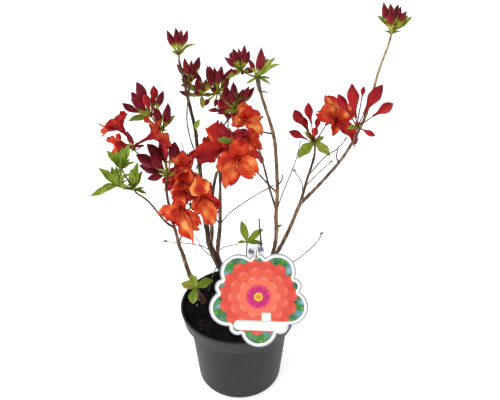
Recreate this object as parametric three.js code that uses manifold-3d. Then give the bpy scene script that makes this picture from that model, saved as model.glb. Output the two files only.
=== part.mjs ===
// A deciduous azalea in a round nursery pot: a short woody foot, thin upright boughs,
// and trusses of crimson buds and orange funnel flowers at the tips, with a care label
// that leans on the pot's rim. Millimetres, +Z up, the origin under the middle of the pot.
import * as THREE from 'three';
import * as BufferGeometryUtils from 'three/addons/utils/BufferGeometryUtils.js';
import Module from 'manifold-3d';

const wasm = await Module();
wasm.setup();

// Gap that touching solids keep
const GAP = 0.3;

// Pot, as radius and height pairs up its outside
const POT_HEIGHT = 133;
const POT_RIM_RADIUS = 85;
const POT_WALL = 1.8;
const POT_FLOOR = 3;
const POT_COLLAR = { topRadius: 84, bottomRadius: 81.5, bottom: 113, lip: 3 };
const POT_BODY = { topRadius: 72, top: 104, bottomRadius: 63, edgeRadius: 9 };
const POT_SIDES = 40;

// Soil, filled nearly to the rim
const SOIL_TOP = 128;

// Limbs: each runs from the ground or from a place along its parent (1 is the parent's
// tip), through its points, and tapers from its foot radius to its tip radius
const LIMB_SIDES = 6;
const TRUNK_SIDES = 12;
const LIMB_STEP = 16;
const LIMBS = {
  trunk: {
    points: [[0, 8, 128.3], [-1, 7, 138], [-2, 6, 150]],
    foot: 8.5, tip: 6.5, flare: 1.7, colour: 0x4d382c,
  },
  bough_centre: {
    from: 'trunk', at: 1,
    points: [[-10, 0, 168], [-24, -6, 197], [-34, -7, 224], [-40, -5, 243]],
    foot: 5.2, tip: 4.3, colour: 0x4d382c,
  },
  bough_centre_left: {
    from: 'bough_centre', at: 1,
    points: [[-47, 1, 300], [-49, 8, 350], [-53, 14, 398], [-61, 22, 440], [-70, 34, 478]],
    foot: 3.2, tip: 1.6, colour: 0x4a372c,
  },
  bough_centre_right: {
    from: 'bough_centre', at: 0.95,
    points: [[-35, -10, 258], [-34, -14, 290], [-32, -17, 322], [-26, -12, 350]],
    foot: 2.9, tip: 1.9, colour: 0x4a372c,
  },
  bough_middle: {
    from: 'bough_centre', at: 0.66,
    points: [[-27, -2, 233], [-24, 1, 270], [-23, 10, 308], [-25, 22, 350], [-24, 34, 388]],
    foot: 2.3, tip: 1.5, colour: 0x6a4d3a,
  },
  bough_right_low: {
    from: 'trunk', at: 0.75,
    points: [[8, 4, 154], [24, 3, 178], [44, -1, 205]],
    foot: 4.4, tip: 3.6, colour: 0x8a6a4c,
  },
  bough_right_upright: {
    from: 'bough_right_low', at: 1,
    points: [
      [50, -12, 245], [50, -17, 290], [50, -15, 335], [47, -6, 385], [36, 6, 425], [26, 18, 453],
    ],
    foot: 2.9, tip: 1.8, colour: 0x8a6a4c,
  },
  bough_right_outer: {
    from: 'bough_right_low', at: 0.94,
    points: [[57, 5, 224], [70, 6, 258], [83, 6, 297]],
    foot: 3, tip: 2.5, colour: 0x93744f,
  },
  bough_far_right: {
    from: 'bough_right_outer', at: 1,
    points: [
      [108, -2, 332], [129, -10, 368], [146, -16, 408], [157, -13, 448], [165, -5, 482], [175, 5, 510],
    ],
    foot: 2.3, tip: 1.2, colour: 0x93744f,
  },
  bough_right_back: {
    from: 'bough_right_outer', at: 0.94,
    points: [[91, 17, 324], [99, 26, 350], [101, 32, 366]],
    foot: 2, tip: 1.4, colour: 0x6a4d3a,
  },
  bough_back: {
    from: 'trunk', at: 0.85,
    points: [[-31, 42, 186], [-28, 60, 236], [-27, 70, 290], [-18, 76, 330]],
    foot: 2.9, tip: 1.8, colour: 0x4d382c,
  },
  bough_left_low: {
    points: [[-52, 6, 128.3], [-63, -6, 166], [-73, -18, 222], [-78, -24, 251]],
    foot: 3.4, tip: 2.4, flare: 1.5, colour: 0x7a5b44,
  },
  bough_left_upper: {
    from: 'bough_left_low', at: 1,
    points: [[-84, -30, 300], [-88, -30, 338], [-86, -26, 350]],
    foot: 2.1, tip: 1.4, colour: 0x6a4d3a,
  },
  bough_far_left: {
    from: 'bough_left_upper', at: 0.18,
    points: [[-92, -38, 297], [-106, -50, 329], [-118, -59, 347]],
    foot: 1.5, tip: 1.1, colour: 0x7a5b44,
  },
  stub: {
    from: 'trunk', at: 0.6,
    points: [[18, -20, 184], [29, -27, 222], [31.4, -27, 244], [27.4, -30, 294]],
    foot: 2.1, tip: 1, colour: 0x3a2c25,
  },
  spur: {
    from: 'stub', at: 0.5,
    points: [[26, -33, 233], [24.3, -37.6, 241], [24.2, -39, 251.5]],
    foot: 1.2, tip: 0.9, colour: 0x93744f,
  },
};

// Flower sizes: a funnel with five lobes on a narrow tube, measured wide open. A shut
// flower is closedShare as wide, and its base is sunk that deep in its stalk.
const FLOWER = {
  across: 54, tube: 18, throat: 6, depth: 13, thickness: 0.9,
  closedShare: 0.42, closedDepth: 1.5, lobes: 5, lobeReach: 0.2, lobeTurn: 60, sides: 15, sunk: 3,
};
// The funnel's bell and its inside, as shares of the mouth's radius and of the whole length
const BELL = { radius: 0.42, height: 0.78 };
const BELL_INSIDE = { radius: 0.36, height: 0.83 };
// Shares of a bud's length: its width, its stalk, and how far below its tip it is widest
const BUD = { width: 0.36, stalk: 0.12, widestAt: 0.45, shoulderAt: 0.16, shoulder: 0.6, sides: 4 };
// Shares of a leaf's length. A leaf in front of turnsBackAt shows its face to the front.
const LEAF = { width: 0.4, thickness: 0.03, turnsBackAt: 45, facing: 0.6 };
const STALK = { radius: 0.9, taper: 0.9, sunk: 0.12 };
const TWIG = { radius: 1.3, taper: 0.8, sag: 0.06, sides: 4 };
const HEART_RADIUS = 2.4;
const SMALLEST_DETAIL = 0.25;

// How a heart's buds are dealt out: each turns on from the last by the golden angle and
// leans out by the seeded rule. Angles are degrees, lengths shares of the heart's own.
const SPRAY = {
  turn: 137.5, seedTurn: 31, jitter: 12, upward: 0.35,
  shortest: 0.82, longer: 0.3, shortestStalk: 2, longerStalk: 2.4,
};

// Masses: each grows from the tip of its limb and has one or more hearts. A heart carries
// buds in a seeded spread round its axis, single buds (tips) by bearing, lift, reach and
// length, blooms by the place of the mouth and the way it faces and how far it is open,
// and leaves by bearing, lift and length. Bearings are degrees from +X to +Y, lifts are up.
const MASSES = {
  truss_top_left: {
    limb: 'bough_centre_left',
    hearts: [
      { at: [-70, 36, 485], axis: [0, 0.1, 1], spread: 42, buds: 8, length: 22, seed: 11,
        leaves: [[-20, 40, 26], [150, 20, 12], [-110, 35, 14]] },
    ],
  },
  truss_top_right: {
    limb: 'bough_far_right',
    hearts: [
      { at: [176, 6, 517], axis: [0.05, 0, 1], spread: 44, buds: 8, length: 23, seed: 23,
        leaves: [[150, 60, 24], [-10, 55, 26], [-80, 50, 20]] },
    ],
  },
  truss_upper_right: {
    limb: 'bough_right_upright',
    hearts: [
      { at: [25, 20, 462], axis: [0.15, -0.1, 1], spread: 22, buds: 0, length: 27, seed: 31,
        tips: [[50, 81, 36, 31], [45, 49, 27, 20], [151, 60, 25, 18]],
        leaves: [[5, 51, 33], [-17, 37, 33], [-33, -13, 19], [-151, -17, 17]] },
      { at: [5, 34, 467], axis: [-0.25, 0.3, 1], spread: 58, buds: 9, length: 20, seed: 37,
        leaves: [[-130, -10, 24], [-160, -20, 22]] },
    ],
  },
  truss_upper_middle: {
    limb: 'bough_middle',
    hearts: [
      { at: [-3, 40, 415], axis: [0.2, 0, 1], spread: 60, buds: 9, length: 26, seed: 41,
        leaves: [[-90, 10, 20], [60, 20, 24]] },
      { at: [-26, 50, 434], axis: [0, 0.2, 1], spread: 45, buds: 9, length: 26, seed: 43,
        leaves: [[100, 10, 20]] },
      { at: [-45, 40, 433], axis: [-0.5, 0.1, 1], spread: 70, buds: 6, length: 24, seed: 47,
        leaves: [[-80, -60, 16]] },
    ],
  },
  truss_upper_left: {
    limb: 'bough_centre_left', along: 0.8,
    hearts: [
      { at: [-58, 42, 450], axis: [-0.1, 0.1, 1], spread: 46, buds: 8, length: 21, seed: 53,
        leaves: [[-140, 20, 14]] },
    ],
  },
  flowers_upper: {
    limb: 'bough_right_upright', along: 0.72,
    hearts: [
      { at: [29, 8, 398], axis: [-0.6, -0.5, 0.4], spread: 20, buds: 0, length: 24, seed: 59,
        blooms: [[12, -14, 425, -80, 32, 0.6]],
        leaves: [[150, 30, 16]] },
    ],
  },
  flowers_front: {
    limb: 'bough_right_upright', along: 0.46,
    hearts: [
      { at: [-3, -38, 402], axis: [-0.5, -0.5, 0.6], spread: 40, buds: 0, length: 22, seed: 61,
        blooms: [[1, -71, 398, -95, 26, 0.92], [17, -38, 405, -65, 14, 0.6]],
        leaves: [[170, 10, 20]] },
    ],
  },
  flowers_middle: {
    limb: 'bough_centre_right',
    hearts: [
      { at: [-17, -6, 366], axis: [-0.4, -0.2, 0.9], spread: 50, buds: 0, length: 26, seed: 67,
        blooms: [[-19, -24, 387, -104, 30, 0.85]],
        leaves: [[-20, 20, 20], [60, 30, 24]] },
    ],
  },
  crown_left: {
    limb: 'bough_left_upper',
    hearts: [
      { at: [-85, -26, 354], axis: [-0.62, 0, 0.7], spread: 60, buds: 0, length: 28, seed: 83,
        tips: [[-166, 42, 46, 33], [170, 13, 36, 30], [-168, 64, 47, 34], [156, 80, 44, 32],
          [-127, 57, 41, 31], [-154, 3, 25, 21], [139, 44, 30, 24], [-20, 76, 46, 30]],
        blooms: [[-67, -42, 373, -100, 34, 0.45], [-60, -48, 361, -60, 20, 0.3]],
        leaves: [[-30, 20, 24]] },
      { at: [-92, 2, 401], axis: [0.2, 0.2, 1], spread: 40, buds: 5, length: 24, seed: 71,
        leaves: [[20, 50, 26]] },
      { at: [-103, -2, 421], axis: [-0.4, 0.2, 1], spread: 66, buds: 9, length: 27, seed: 73,
        leaves: [[175, -10, 30]] },
      { at: [-121, -34, 391], axis: [-0.2, 0, 0.9], spread: 30, buds: 1, length: 18, seed: 79,
        grownFrom: 0,
        blooms: [[-143, -26, 426, 151, 41, 0.35], [-143, -36, 395, -150, 8, 0.4],
          [-90, -24, 410, 10, 25, 0.65]] },
    ],
  },
  leaves_far_left: {
    limb: 'bough_far_left',
    hearts: [
      { at: [-120, -62, 353], axis: [-0.8, -0.2, 0.6], spread: 20, buds: 0, length: 20, seed: 89,
        leaves: [[-129, 27, 17], [37, 78, 34], [-99, 44, 22]] },
      { at: [-130, -66, 382], axis: [-0.3, -0.2, 0.9], spread: 20, buds: 0, length: 20, seed: 91,
        leaves: [[-134, 61, 32], [28, 67, 32], [-72, 57, 30], [0, 33, 18], [-113, -7, 20]] },
      { at: [-138, -66, 360], axis: [-0.6, 0, 0.8], spread: 20, buds: 0, length: 20, seed: 93,
        grownFrom: 0,
        leaves: [[180, 54, 30], [83, 77, 24], [-152, -8, 32], [169, -6, 22]] },
    ],
  },
  flowers_low_left: {
    limb: 'bough_left_upper', along: 0.3,
    hearts: [
      { at: [-56, -36, 315], axis: [0, -0.6, 0.5], spread: 40, buds: 0, length: 20, seed: 97,
        blooms: [[-68, -62, 323, -100, 6, 0.9], [-39, -64, 342, -82, 20, 0.75],
          [-68, -50, 346, -100, 32, 0.5]] },
    ],
  },
  truss_right: {
    limb: 'bough_right_back',
    hearts: [
      { at: [99, 34, 372], axis: [-0.2, 0, 1], spread: 62, buds: 0, length: 24, seed: 101,
        tips: [[-163, 60, 55, 30], [157, 62, 38, 22], [120, 74, 52, 28], [51, 70, 34, 20],
          [-94, 56, 34, 24], [-173, 27, 38, 28]],
        blooms: [[125, 4, 418, -60, 36, 0.9]],
        leaves: [[-133, -18, 34], [-45, -16, 30], [136, 35, 20], [19, 22, 16]] },
    ],
  },
  flowers_right: {
    limb: 'bough_far_right', along: 0.5,
    hearts: [
      { at: [139, -34, 421], axis: [0.3, -0.3, 0.9], spread: 60, buds: 0, length: 26, seed: 103,
        tips: [[18, 27, 50, 28], [-41, -11, 26, 20], [62, 74, 46, 14], [165, 58, 44, 27]],
        blooms: [[162, -36, 468, 35, 48, 0.25], [131, -32, 468, 100, 60, 0.25]],
        leaves: [[-150, 0, 14]] },
    ],
  },
  flowers_back: {
    limb: 'bough_back',
    hearts: [
      { at: [-16, 80, 340], axis: [0, 0.5, 0.8], spread: 50, buds: 4, length: 26, seed: 107,
        blooms: [[-12, 115, 336, 92, 18, 0.85], [-48, 106, 330, 140, 12, 0.65],
          [18, 103, 333, 38, 20, 0.65]],
        leaves: [[-10, 30, 24], [170, 30, 24], [100, -20, 30]] },
      { at: [-14, 84, 384], axis: [0, 0.2, 1], spread: 50, buds: 8, length: 26, seed: 109,
        leaves: [[60, 10, 24], [130, 20, 26]] },
    ],
  },
  flowers_back_left: {
    limb: 'bough_back', along: 0.55,
    hearts: [
      { at: [-72, 66, 292], axis: [-0.7, 0.3, 0.6], spread: 50, buds: 5, length: 25, seed: 113,
        blooms: [[-92, 88, 300, 140, 10, 0.8], [-78, 84, 330, 120, 50, 0.6]],
        leaves: [[100, 10, 30], [180, 20, 30], [60, 30, 26]] },
    ],
  },
  leaves_low_left: {
    limb: 'bough_left_low', along: 0.3,
    hearts: [
      { at: [-58, -28, 182], axis: [0, -0.5, 0.8], spread: 20, buds: 0, length: 20, seed: 127,
        leaves: [[170, 12, 22], [125, 50, 20], [15, 18, 26], [-110, -50, 24]] },
    ],
  },
  leaves_middle: {
    limb: 'bough_right_low', along: 0.35,
    hearts: [
      { at: [12, -24, 254], axis: [0, -0.3, 0.9], spread: 20, buds: 0, length: 20, seed: 131,
        leaves: [[115, 55, 30], [25, 32, 28], [0, -5, 22], [180, 0, 14]] },
    ],
  },
};

// Label card: ten lobes round a centre and a hanger tab at the top, leaning on the rim.
// Its own frame has its origin level with the rim, X to the right and Y up the card. A slot
// in the tab goes over the stub's spur.
const CARD = { thickness: 0.9, lean: 22, centre: [27, 62.5], outlinePoints: 110, slotSteps: 400 };
const BIG_LOBES = { count: 5, first: 55, reach: 43, radius: 24.5 };
const SMALL_LOBES = { count: 5, first: 91, reach: 48, radius: 11.5 };
const CARD_TAB = { at: [24, 124], radius: 11, slotWidth: 6, slotHeight: 17 };

const group = new THREE.Group();
const limbCurves = {};
const built = [];
let limbRoom = null;

function seededRandom(seed) {
  let state = seed >>> 0;
  return () => {
    state = (state + 0x6d2b79f5) >>> 0;
    let mixed = Math.imul(state ^ (state >>> 15), state | 1);
    mixed ^= mixed + Math.imul(mixed ^ (mixed >>> 7), mixed | 61);
    return ((mixed ^ (mixed >>> 14)) >>> 0) / 4294967296;
  };
}

function vector(values) {
  return new THREE.Vector3(...values);
}

function heading(bearing, lift) {
  const turn = THREE.MathUtils.degToRad(bearing);
  const rise = THREE.MathUtils.degToRad(lift);
  return vector([Math.cos(rise) * Math.cos(turn), Math.cos(rise) * Math.sin(turn), Math.sin(rise)]);
}

function signedVolume(positions, index) {
  const corner = [0, 1, 2].map(() => new THREE.Vector3());
  let total = 0;
  for (let i = 0; i < index.length; i += 3) {
    corner.forEach((point, k) => point.fromArray(positions, index[i + k] * 3));
    total += corner[0].dot(corner[1].clone().cross(corner[2])) / 6;
  }
  return total;
}

// A closed geometry as a solid: shared corners merged, flat scraps dropped, faces outward
function toSolid(geometry) {
  geometry.deleteAttribute('normal');
  geometry.deleteAttribute('uv');
  const merged = BufferGeometryUtils.mergeVertices(geometry, 1e-4);
  const positions = merged.attributes.position.array;
  let index = [];
  for (let i = 0; i < merged.index.count; i += 3) {
    const [a, b, c] = [0, 1, 2].map((k) => merged.index.getX(i + k));
    if (a !== b && b !== c && c !== a) index.push(a, b, c);
  }
  if (signedVolume(positions, index) < 0) index = index.reverse();
  const mesh = new wasm.Mesh({
    numProp: 3,
    vertProperties: Float32Array.from(positions),
    triVerts: Uint32Array.from(index),
  });
  return new wasm.Manifold(mesh);
}

// The largest body of a solid: loose scraps go, and sealed hollows are filled
function mainBody(solid) {
  const bodies = solid.decompose();
  return bodies.reduce((best, body) => (body.volume() > best.volume() ? body : best));
}

function toGeometry(solid) {
  const mesh = solid.getMesh();
  const geometry = new THREE.BufferGeometry();
  geometry.setAttribute('position', new THREE.BufferAttribute(Float32Array.from(mesh.vertProperties), 3));
  geometry.setIndex(new THREE.BufferAttribute(Uint32Array.from(mesh.triVerts), 1));
  return geometry;
}

function addPart(name, solid, colour, roughness) {
  const material = new THREE.MeshStandardMaterial({ color: colour, roughness, metalness: 0 });
  const mesh = new THREE.Mesh(toGeometry(solid), material);
  mesh.name = name;
  group.add(mesh);
  built.push(solid);
}

// A tapering round limb along a curve, bent from an upright cylinder. A level limb keeps
// its rings flat, so that its foot is a flat cut on the ground.
function limbSolid(curve, foot, tip, { sides = 3, steps = 1, level = false, flare = 1 } = {}) {
  const geometry = new THREE.CylinderGeometry(tip, foot, 1, sides, steps);
  const chord = curve.getPoint(1).sub(curve.getPoint(0)).normalize();
  const guide = Math.abs(chord.x) < 0.7 ? vector([1, 0, 0]) : vector([0, 1, 0]);
  const position = geometry.attributes.position;
  for (let i = 0; i < position.count; i += 1) {
    const along = THREE.MathUtils.clamp(position.getY(i) + 0.5, 0, 1);
    const tangent = level ? vector([0, 0, 1]) : curve.getTangent(along);
    const side = guide.clone().addScaledVector(tangent, -guide.dot(tangent)).normalize();
    const other = side.clone().cross(tangent);
    const spread = 1 + (flare - 1) * (1 - along) ** 3;
    const point = curve.getPoint(along)
      .addScaledVector(side, position.getX(i) * spread)
      .addScaledVector(other, position.getZ(i) * spread);
    position.setXYZ(i, point.x, point.y, point.z);
  }
  return toSolid(geometry);
}

// Turns a geometry that stands on its own +Y so that it points along a direction
function standAlong(geometry, base, direction, up = vector([0, 0, 1])) {
  const flat = direction.clone().cross(up);
  if (flat.lengthSq() < 1e-4) flat.set(1, 0, 0);
  flat.normalize();
  const turn = new THREE.Matrix4().makeBasis(flat, direction, flat.clone().cross(direction));
  geometry.applyMatrix4(turn.setPosition(base));
  return geometry;
}

function stalkSolid(from, to) {
  return limbSolid(new THREE.LineCurve3(from, to), STALK.radius, STALK.radius * STALK.taper);
}

// A bud on its stalk, as one straight spindle from its heart to its pointed tip
function budSolid(root, base, tip) {
  const whole = root.distanceTo(tip);
  const bud = base.distanceTo(tip);
  const width = (bud * BUD.width) / 2;
  const profile = [[0, 0], [STALK.radius, 1], [STALK.radius, whole - bud],
    [width, whole - bud * BUD.widestAt], [width * BUD.shoulder, whole - bud * BUD.shoulderAt], [0, whole]]
    .map(([radius, height]) => new THREE.Vector2(radius, height));
  const direction = tip.clone().sub(root).normalize();
  return toSolid(standAlong(new THREE.LatheGeometry(profile, BUD.sides), root, direction));
}

function leafSolid(base, direction, length, faceUp) {
  const blade = new THREE.OctahedronGeometry(1);
  blade.scale((length * LEAF.width) / 2, length / 2, (length * LEAF.thickness) / 2);
  blade.translate(0, length / 2, 0);
  return toSolid(standAlong(blade, base, direction, faceUp));
}

// A funnel flower: a narrow tube that flares to a mouth with five lobes. Its base is
// behind the mouth, and openness runs from a long bell to a wide open face.
function bloomBack(open) {
  return FLOWER.tube + FLOWER.depth * THREE.MathUtils.lerp(FLOWER.closedDepth, 1, open);
}

function bloomSolid(mouth, facing, open) {
  const back = bloomBack(open);
  const wide = (FLOWER.across / 2) * THREE.MathUtils.lerp(FLOWER.closedShare, 1, open);
  const profile = [[0, 0], [FLOWER.throat / 2, FLOWER.tube], [wide * BELL.radius, back * BELL.height],
    [wide, back], [wide * BELL_INSIDE.radius, back * BELL_INSIDE.height],
    [0, FLOWER.tube + FLOWER.thickness]]
    .map(([radius, height]) => new THREE.Vector2(radius, height));
  const geometry = new THREE.LatheGeometry(profile, FLOWER.sides);
  const position = geometry.attributes.position;
  for (let i = 0; i < position.count; i += 1) {
    const reach = Math.hypot(position.getX(i), position.getZ(i));
    const turn = Math.atan2(position.getX(i), position.getZ(i));
    if (reach < wide * 0.9) continue;
    const wave = FLOWER.lobes * turn + THREE.MathUtils.degToRad(FLOWER.lobeTurn);
    const lobe = 1 + FLOWER.lobeReach * Math.cos(wave);
    position.setX(i, position.getX(i) * lobe);
    position.setZ(i, position.getZ(i) * lobe);
  }
  const base = mouth.clone().addScaledVector(facing, -back);
  return toSolid(standAlong(geometry, base, facing));
}

function addPot() {
  const { topRadius, bottomRadius, bottom, lip } = POT_COLLAR;
  const edge = POT_BODY.edgeRadius;
  const outside = [[0, 0], [POT_BODY.bottomRadius - edge, 0]];
  for (const turn of [30, 60, 90]) {
    const angle = THREE.MathUtils.degToRad(turn);
    const radius = POT_BODY.bottomRadius - edge + edge * Math.sin(angle);
    outside.push([radius, edge * (1 - Math.cos(angle))]);
  }
  outside.push([POT_BODY.topRadius, POT_BODY.top], [bottomRadius, bottom], [topRadius, POT_HEIGHT - lip]);
  outside.push([POT_RIM_RADIUS, POT_HEIGHT - lip], [POT_RIM_RADIUS, POT_HEIGHT]);
  const inside = [[topRadius - POT_WALL, POT_HEIGHT], [bottomRadius - POT_WALL, bottom],
    [POT_BODY.topRadius - POT_WALL, POT_BODY.top],
    [POT_BODY.bottomRadius - POT_WALL, edge], [POT_BODY.bottomRadius - edge, POT_FLOOR], [0, POT_FLOOR]];
  const profile = outside.concat(inside).map(([radius, height]) => new THREE.Vector2(radius, height));
  const lathe = new THREE.LatheGeometry(profile, POT_SIDES).rotateX(Math.PI / 2);
  addPart('pot', toSolid(lathe), 0x3c3e40, 0.55);
}

function addSoil() {
  const { topRadius, bottomRadius, bottom } = POT_COLLAR;
  const fill = (SOIL_TOP - bottom) / (POT_HEIGHT - bottom);
  const surface = bottomRadius + (topRadius - bottomRadius) * fill;
  const seat = POT_FLOOR + GAP;
  const profile = [[0, seat], [POT_BODY.bottomRadius - POT_BODY.edgeRadius, seat],
    [POT_BODY.bottomRadius - POT_WALL, POT_BODY.edgeRadius + GAP],
    [POT_BODY.topRadius - POT_WALL, POT_BODY.top + GAP], [bottomRadius - POT_WALL, bottom + GAP],
    [surface - POT_WALL, SOIL_TOP], [0, SOIL_TOP]]
    .map(([radius, height]) => new THREE.Vector2(Math.max(radius - GAP, 0), height));
  const lathe = new THREE.LatheGeometry(profile, POT_SIDES).rotateX(Math.PI / 2);
  addPart('soil', toSolid(lathe), 0x17120f, 1);
}

function limbCurve(points) {
  return new THREE.CatmullRomCurve3(points, false, 'catmullrom', 0.5);
}

// The room that a limb takes: the limb with the gap round it and past both its ends
function limbClearance(points, limb, shape) {
  const curve = limbCurve(points);
  const room = points.map((point) => point.clone());
  room[0].addScaledVector(curve.getTangent(0), -GAP);
  room[room.length - 1].addScaledVector(curve.getTangent(1), GAP);
  return limbSolid(limbCurve(room), limb.foot + GAP, limb.tip + GAP, shape);
}

// A limb starts inside its parent and is cut clear of every limb that is there already
function addLimb(name, limb) {
  const points = limb.points.map(vector);
  if (limb.from) points.unshift(limbCurves[limb.from].getPoint(limb.at));
  const curve = limbCurve(points);
  limbCurves[name] = curve;
  const shape = {
    sides: name === 'trunk' ? TRUNK_SIDES : LIMB_SIDES,
    steps: Math.max(2, Math.round(curve.getLength() / LIMB_STEP)),
    level: limb.from === undefined,
    flare: limb.flare ?? 1,
  };
  const whole = limbSolid(curve, limb.foot, limb.tip, shape);
  const solid = limbRoom ? mainBody(whole.subtract(limbRoom)) : whole;
  const room = limbClearance(points, limb, shape);
  limbRoom = limbRoom ? limbRoom.add(room) : room;
  addPart(name, solid, limb.colour, 0.85);
}

// The card's outline, as far as the outermost lobe in each direction from its centre
function cardOutline() {
  const lobes = [{ at: CARD_TAB.at, radius: CARD_TAB.radius }];
  for (const row of [BIG_LOBES, SMALL_LOBES]) {
    for (let i = 0; i < row.count; i += 1) {
      const turn = THREE.MathUtils.degToRad(row.first + (i * 360) / row.count);
      const at = [CARD.centre[0] + row.reach * Math.cos(turn), CARD.centre[1] + row.reach * Math.sin(turn)];
      lobes.push({ at, radius: row.radius });
    }
  }
  const outline = [];
  for (let i = 0; i < CARD.outlinePoints; i += 1) {
    const turn = (i / CARD.outlinePoints) * 2 * Math.PI;
    const ray = new THREE.Vector2(Math.cos(turn), Math.sin(turn));
    let reach = 0;
    for (const lobe of lobes) {
      const offset = new THREE.Vector2(lobe.at[0] - CARD.centre[0], lobe.at[1] - CARD.centre[1]);
      const along = offset.dot(ray);
      const miss = lobe.radius ** 2 - (offset.lengthSq() - along ** 2);
      if (miss > 0) reach = Math.max(reach, along + Math.sqrt(miss));
    }
    outline.push(new THREE.Vector2(CARD.centre[0] + ray.x * reach, CARD.centre[1] + ray.y * reach));
  }
  return outline;
}

// The card leans on the rim's first corner to the right of the front, where its foot is
function addLabel() {
  const lean = THREE.MathUtils.degToRad(CARD.lean);
  const across = vector([1, 0, 0]);
  const upCard = vector([0, Math.sin(lean), Math.cos(lean)]);
  const outward = across.clone().cross(upCard);
  const rimCorner = (2 * Math.PI) / POT_SIDES;
  const origin = vector([0, -POT_RIM_RADIUS * Math.cos(rimCorner), POT_HEIGHT]);
  origin.addScaledVector(outward, GAP);
  let crossing = null;
  for (let i = 0; i <= CARD.slotSteps && !crossing; i += 1) {
    const point = limbCurves.spur.getPoint(i / CARD.slotSteps).sub(origin);
    const height = point.dot(upCard);
    if (height > CARD_TAB.at[1] - CARD_TAB.radius && point.dot(outward) > 0) crossing = point;
  }
  const shape = new THREE.Shape(cardOutline());
  if (crossing) {
    const hole = new THREE.Path();
    const { slotWidth, slotHeight } = CARD_TAB;
    hole.absellipse(crossing.x, crossing.dot(upCard), slotWidth / 2, slotHeight / 2, 0, 2 * Math.PI, true);
    shape.holes.push(hole);
  }
  const plate = { depth: CARD.thickness, bevelEnabled: false, curveSegments: 12 };
  const card = new THREE.ExtrudeGeometry(shape, plate);
  const place = new THREE.Matrix4().makeBasis(across, upCard, outward).setPosition(origin);
  addPart('label_card', toSolid(card.applyMatrix4(place)), 0xe9e6e2, 0.35);
}

function twigSolid(from, to) {
  const middle = from.clone().lerp(to, 0.5);
  middle.z -= from.distanceTo(to) * TWIG.sag;
  const curve = new THREE.QuadraticBezierCurve3(from, middle, to);
  return limbSolid(curve, TWIG.radius, TWIG.radius * TWIG.taper, { sides: TWIG.sides, steps: 2 });
}

function budPiece(centre, base, direction, length) {
  const root = centre.clone().lerp(base, STALK.sunk);
  return [budSolid(root, base, base.clone().addScaledVector(direction, length))];
}

// Everything one heart carries, as small solids in the order they are grown
function heartPieces(heart) {
  const random = seededRandom(heart.seed);
  const centre = vector(heart.at);
  const axis = vector(heart.axis).normalize();
  const side = Math.abs(axis.x) < 0.7 ? vector([1, 0, 0]) : vector([0, 1, 0]);
  side.addScaledVector(axis, -side.dot(axis)).normalize();
  const other = axis.clone().cross(side);
  const pieces = [];
  for (const [x, y, z, bearing, lift, open] of heart.blooms ?? []) {
    const mouth = vector([x, y, z]);
    const facing = heading(bearing, lift);
    const base = mouth.clone().addScaledVector(facing, FLOWER.sunk - bloomBack(open));
    pieces.push([stalkSolid(centre, base), bloomSolid(mouth, facing, open)]);
  }
  for (let i = 0; i < heart.buds; i += 1) {
    const turn = THREE.MathUtils.degToRad(i * SPRAY.turn + heart.seed * SPRAY.seedTurn);
    const jitter = (random() - 0.5) * SPRAY.jitter;
    const lean = THREE.MathUtils.degToRad(heart.spread * Math.sqrt((i + 0.5) / heart.buds) + jitter);
    const length = heart.length * (SPRAY.shortest + SPRAY.longer * random());
    const stalk = heart.length * BUD.stalk * (SPRAY.shortestStalk + SPRAY.longerStalk * random());
    const out = axis.clone().multiplyScalar(Math.cos(lean))
      .addScaledVector(side, Math.sin(lean) * Math.cos(turn))
      .addScaledVector(other, Math.sin(lean) * Math.sin(turn));
    const base = centre.clone().addScaledVector(out, stalk);
    const upward = out.clone().addScaledVector(axis, SPRAY.upward).normalize();
    pieces.push(budPiece(centre, base, upward, length));
  }
  for (const [bearing, lift, reach, length] of heart.tips ?? []) {
    const out = heading(bearing, lift);
    pieces.push(budPiece(centre, centre.clone().addScaledVector(out, reach - length), out, length));
  }
  const faceUp = vector([0, centre.y < LEAF.turnsBackAt ? -LEAF.facing : LEAF.facing, 1]);
  for (const [bearing, lift, length] of heart.leaves ?? []) {
    pieces.push([leafSolid(centre.clone(), heading(bearing, lift), length, faceUp)]);
  }
  return pieces;
}

function heartCore(centre) {
  const core = new THREE.OctahedronGeometry(HEART_RADIUS);
  core.translate(centre.x, centre.y, centre.z);
  return toSolid(core);
}

// A mass grows from its limb, heart by heart, and leaves out what would touch a limb or
// another mass. Its stem is cut clear of its limb.
function addMass(name, mass) {
  const others = wasm.Manifold.compose(built);
  const centres = mass.hearts.map((heart) => vector(heart.at));
  const foot = limbCurves[mass.limb].getPoint(mass.along ?? 1);
  const stem = twigSolid(foot, centres[0]).subtract(limbRoom);
  let whole = mainBody(stem).add(heartCore(centres[0]));
  for (let i = 1; i < centres.length; i += 1) {
    const start = centres[mass.hearts[i].grownFrom ?? i - 1];
    whole = whole.add(twigSolid(start, centres[i])).add(heartCore(centres[i]));
  }
  for (const heart of mass.hearts) {
    for (const piece of heartPieces(heart)) {
      const fused = piece.reduce((all, next) => all.add(next));
      if (fused.minGap(others, 1) > 2 * GAP) whole = whole.add(fused);
    }
  }
  const hasFlowers = mass.hearts.some((heart) => (heart.blooms ?? []).length > 0);
  const hasBuds = mass.hearts.some((heart) => heart.buds > 0);
  const colour = hasFlowers ? 0xe2512a : hasBuds ? 0x7c1626 : 0x7fa52c;
  addPart(name, mainBody(mainBody(whole).asOriginal().simplify(SMALLEST_DETAIL)), colour, 0.7);
}

addPot();
addSoil();
for (const [name, limb] of Object.entries(LIMBS)) addLimb(name, limb);
addLabel();
for (const [name, mass] of Object.entries(MASSES)) addMass(name, mass);

export default group;
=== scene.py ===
"""A deciduous azalea in a nursery pot: bark, twigs, buds, flowers, leaves, pot, compost and label.

Lengths are millimetres until a piece is built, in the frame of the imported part.
"""
import math
from dataclasses import dataclass

import bpy
import numpy as np
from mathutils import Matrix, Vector
from mathutils.geometry import tessellate_polygon


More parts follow.
